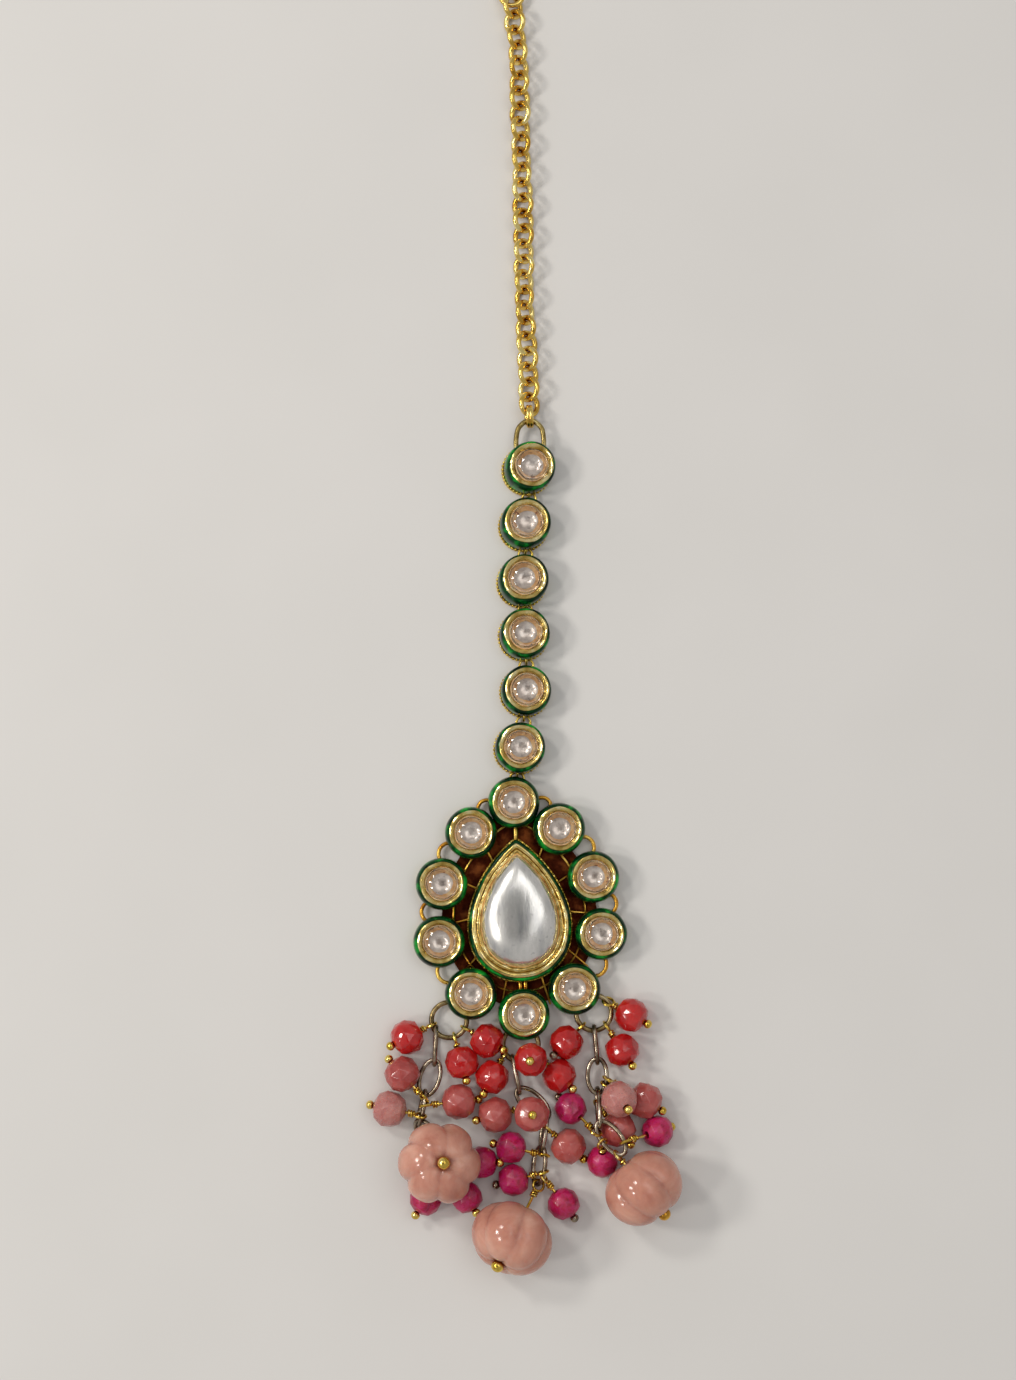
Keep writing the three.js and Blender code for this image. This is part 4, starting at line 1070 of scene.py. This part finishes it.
def makeTassel(side):
    tassel = tassels[side]
    node = f"tassel_{side}_metal"
    wires = []
    for number in range(len(tassel["joints"])):
        centre, along, flat, halfLength, halfWidth = tasselWire(tassel, number)
        wire = tasselWires["linkWire"] if number else tasselWires["ringWire"]
        wires.append(laid(ovalRing(halfLength, halfWidth, wire, 48, 14), along, flat, centre))
    makePiece(side + "TasselRing", wires[0], ringBrass, [node])
    makePiece(side + "TasselLinks", wires[1:], linkSilver, [node])
    headFinishes = {"Gold": (pinGold, "setting_gold"), "Grey": (linkSilver, "antique_metal"),
                    "Orange": (latticeGold, "setting_gold")}
    pinWires, heads = [], {tone: [] for tone in headFinishes}
    for name, number, atX, atY in drops[side]:
        kind = "melon" if name.startswith("melon") else name.split("_")[1]
        shapes, head, toBead, centre = makePin(tassel, name, number, atX, atY, kind)
        pinWires += shapes
        heads[headKind(name)].append(head)
        makeBead(name, kind, toBead, centre)
    makePiece(side + "TasselPins", pinWires, pinGold, [node])
    for tone, (finish, slotName) in headFinishes.items():
        if heads[tone]:
            makePiece(f"{side}Tassel{tone}Heads", heads[tone], finish, [node])


for side in tassels:
    makeTassel(side)
print("tassels and beads made")


# Floor, light and camera

studio = {
    "floor": 3.0, "floorTint": (0.67, 0.657, 0.64), "floorShade": (0.655, 0.643, 0.625),
    "worldTint": (1.0, 0.98, 0.955), "worldStrength": 0.4,
    "lamps": {
        "left": {"at": (-520, 40, 470), "size": 0.1, "power": 1.2, "tint": (1.0, 0.96, 0.9)},
        "upperLeft": {"at": (-380, 300, 560), "size": 0.1, "power": 1.0, "tint": (1.0, 0.96, 0.9)},
        "lowerLeft": {"at": (-430, -200, 520), "size": 0.08, "power": 0.6, "tint": (1.0, 0.96, 0.9)},
        "overhead": {"at": (180, 120, 900), "size": 0.7, "power": 1.8, "tint": (1.0, 0.985, 0.97)},
    },
    "card": {"at": (-10, -52, 430), "wide": 0.22, "high": 0.24, "tint": (0.09, 0.096, 0.1)},
    "lampAim": (0, -12, 0),
    "cameraAt": (-3.9, -32.0, 375.0), "aim": (-1.8, -13.0, 1.5), "lens": 78.0, "sensor": 36.0,
    "transform": "Standard",  # the default one washes out the gold and the red
}


def plainCard(name, width, height, cuts):
    mesh = bpy.data.meshes.new(name)
    work = bmesh.new()
    bmesh.ops.create_grid(work, x_segments=cuts, y_segments=cuts, size=0.5)
    bmesh.ops.scale(work, vec=(width, height, 1), verts=work.verts)
    work.to_mesh(mesh)
    work.free()
    card = bpy.data.objects.new(name, mesh)
    bpy.context.scene.collection.objects.link(card)
    return card


def makeFloor():
    floor = plainCard("floor", studio["floor"], studio["floor"], 8)
    finish, tree, shader = newFinish("paleFloor")
    shade = ramp(tree, cloud(tree, 28, detail=2), [(0.35, studio["floorShade"]), (0.65, studio["floorTint"])])
    tree.links.new(shade, shader.inputs["Base Color"])
    bumped(tree, shader, [(cloud(tree, 1.1, detail=4), 0.05, 0.05)])
    setShader(shader, {"Roughness": 0.5})
    floor.data.materials.append(finish)


def makeDarkCard():
    # A dark card above the jewel, seen only in reflections, for the dark middle of the stones
    look = studio["card"]
    card = plainCard("darkCard", look["wide"], look["high"], 2)
    card.location = Vector(look["at"]) * mm
    card.visible_camera = False
    card.visible_shadow = False
    card.visible_diffuse = False
    finish, tree, shader = newFinish("darkCard")
    setShader(shader, {"Base Color": look["tint"], "Roughness": 0.9})
    card.data.materials.append(finish)


def areaLight(name):
    look = studio["lamps"][name]
    light = bpy.data.lights.new(name, "AREA")
    light.shape = "SQUARE"
    light.size = look["size"]
    light.energy = look["power"]
    light.color = look["tint"]
    lamp = bpy.data.objects.new(name, light)
    lamp.location = Vector(look["at"]) * mm
    lampWay = Vector(studio["lampAim"]) * mm - lamp.location
    lamp.rotation_euler = lampWay.to_track_quat("-Z", "Y").to_euler()
    bpy.context.scene.collection.objects.link(lamp)


def makeCamera():
    lens = bpy.data.cameras.new("camera")
    lens.lens = studio["lens"]
    lens.sensor_width = studio["sensor"]
    lens.clip_start = 0.01
    lens.clip_end = 20
    camera = bpy.data.objects.new("camera", lens)
    camera.location = Vector(studio["cameraAt"]) * mm
    back = (camera.location - Vector(studio["aim"]) * mm).normalized()
    right = Vector((0, 1, 0)).cross(back).normalized()  # the top of the picture is +Y
    camera.rotation_euler = Matrix((right, back.cross(right), back)).transposed().to_euler()
    bpy.context.scene.collection.objects.link(camera)
    bpy.context.scene.camera = camera
    bpy.context.scene.view_settings.view_transform = studio["transform"]


makeFloor()
makeDarkCard()
for lamp in studio["lamps"]:
    areaLight(lamp)
world = bpy.data.worlds.new("studioWorld")
world.use_nodes = True
world.node_tree.nodes["Background"].inputs["Color"].default_value = (*studio["worldTint"], 1)
world.node_tree.nodes["Background"].inputs["Strength"].default_value = studio["worldStrength"]
bpy.context.scene.world = world
makeCamera()
print("floor, light and camera made")

bpy.context.view_layer.update()
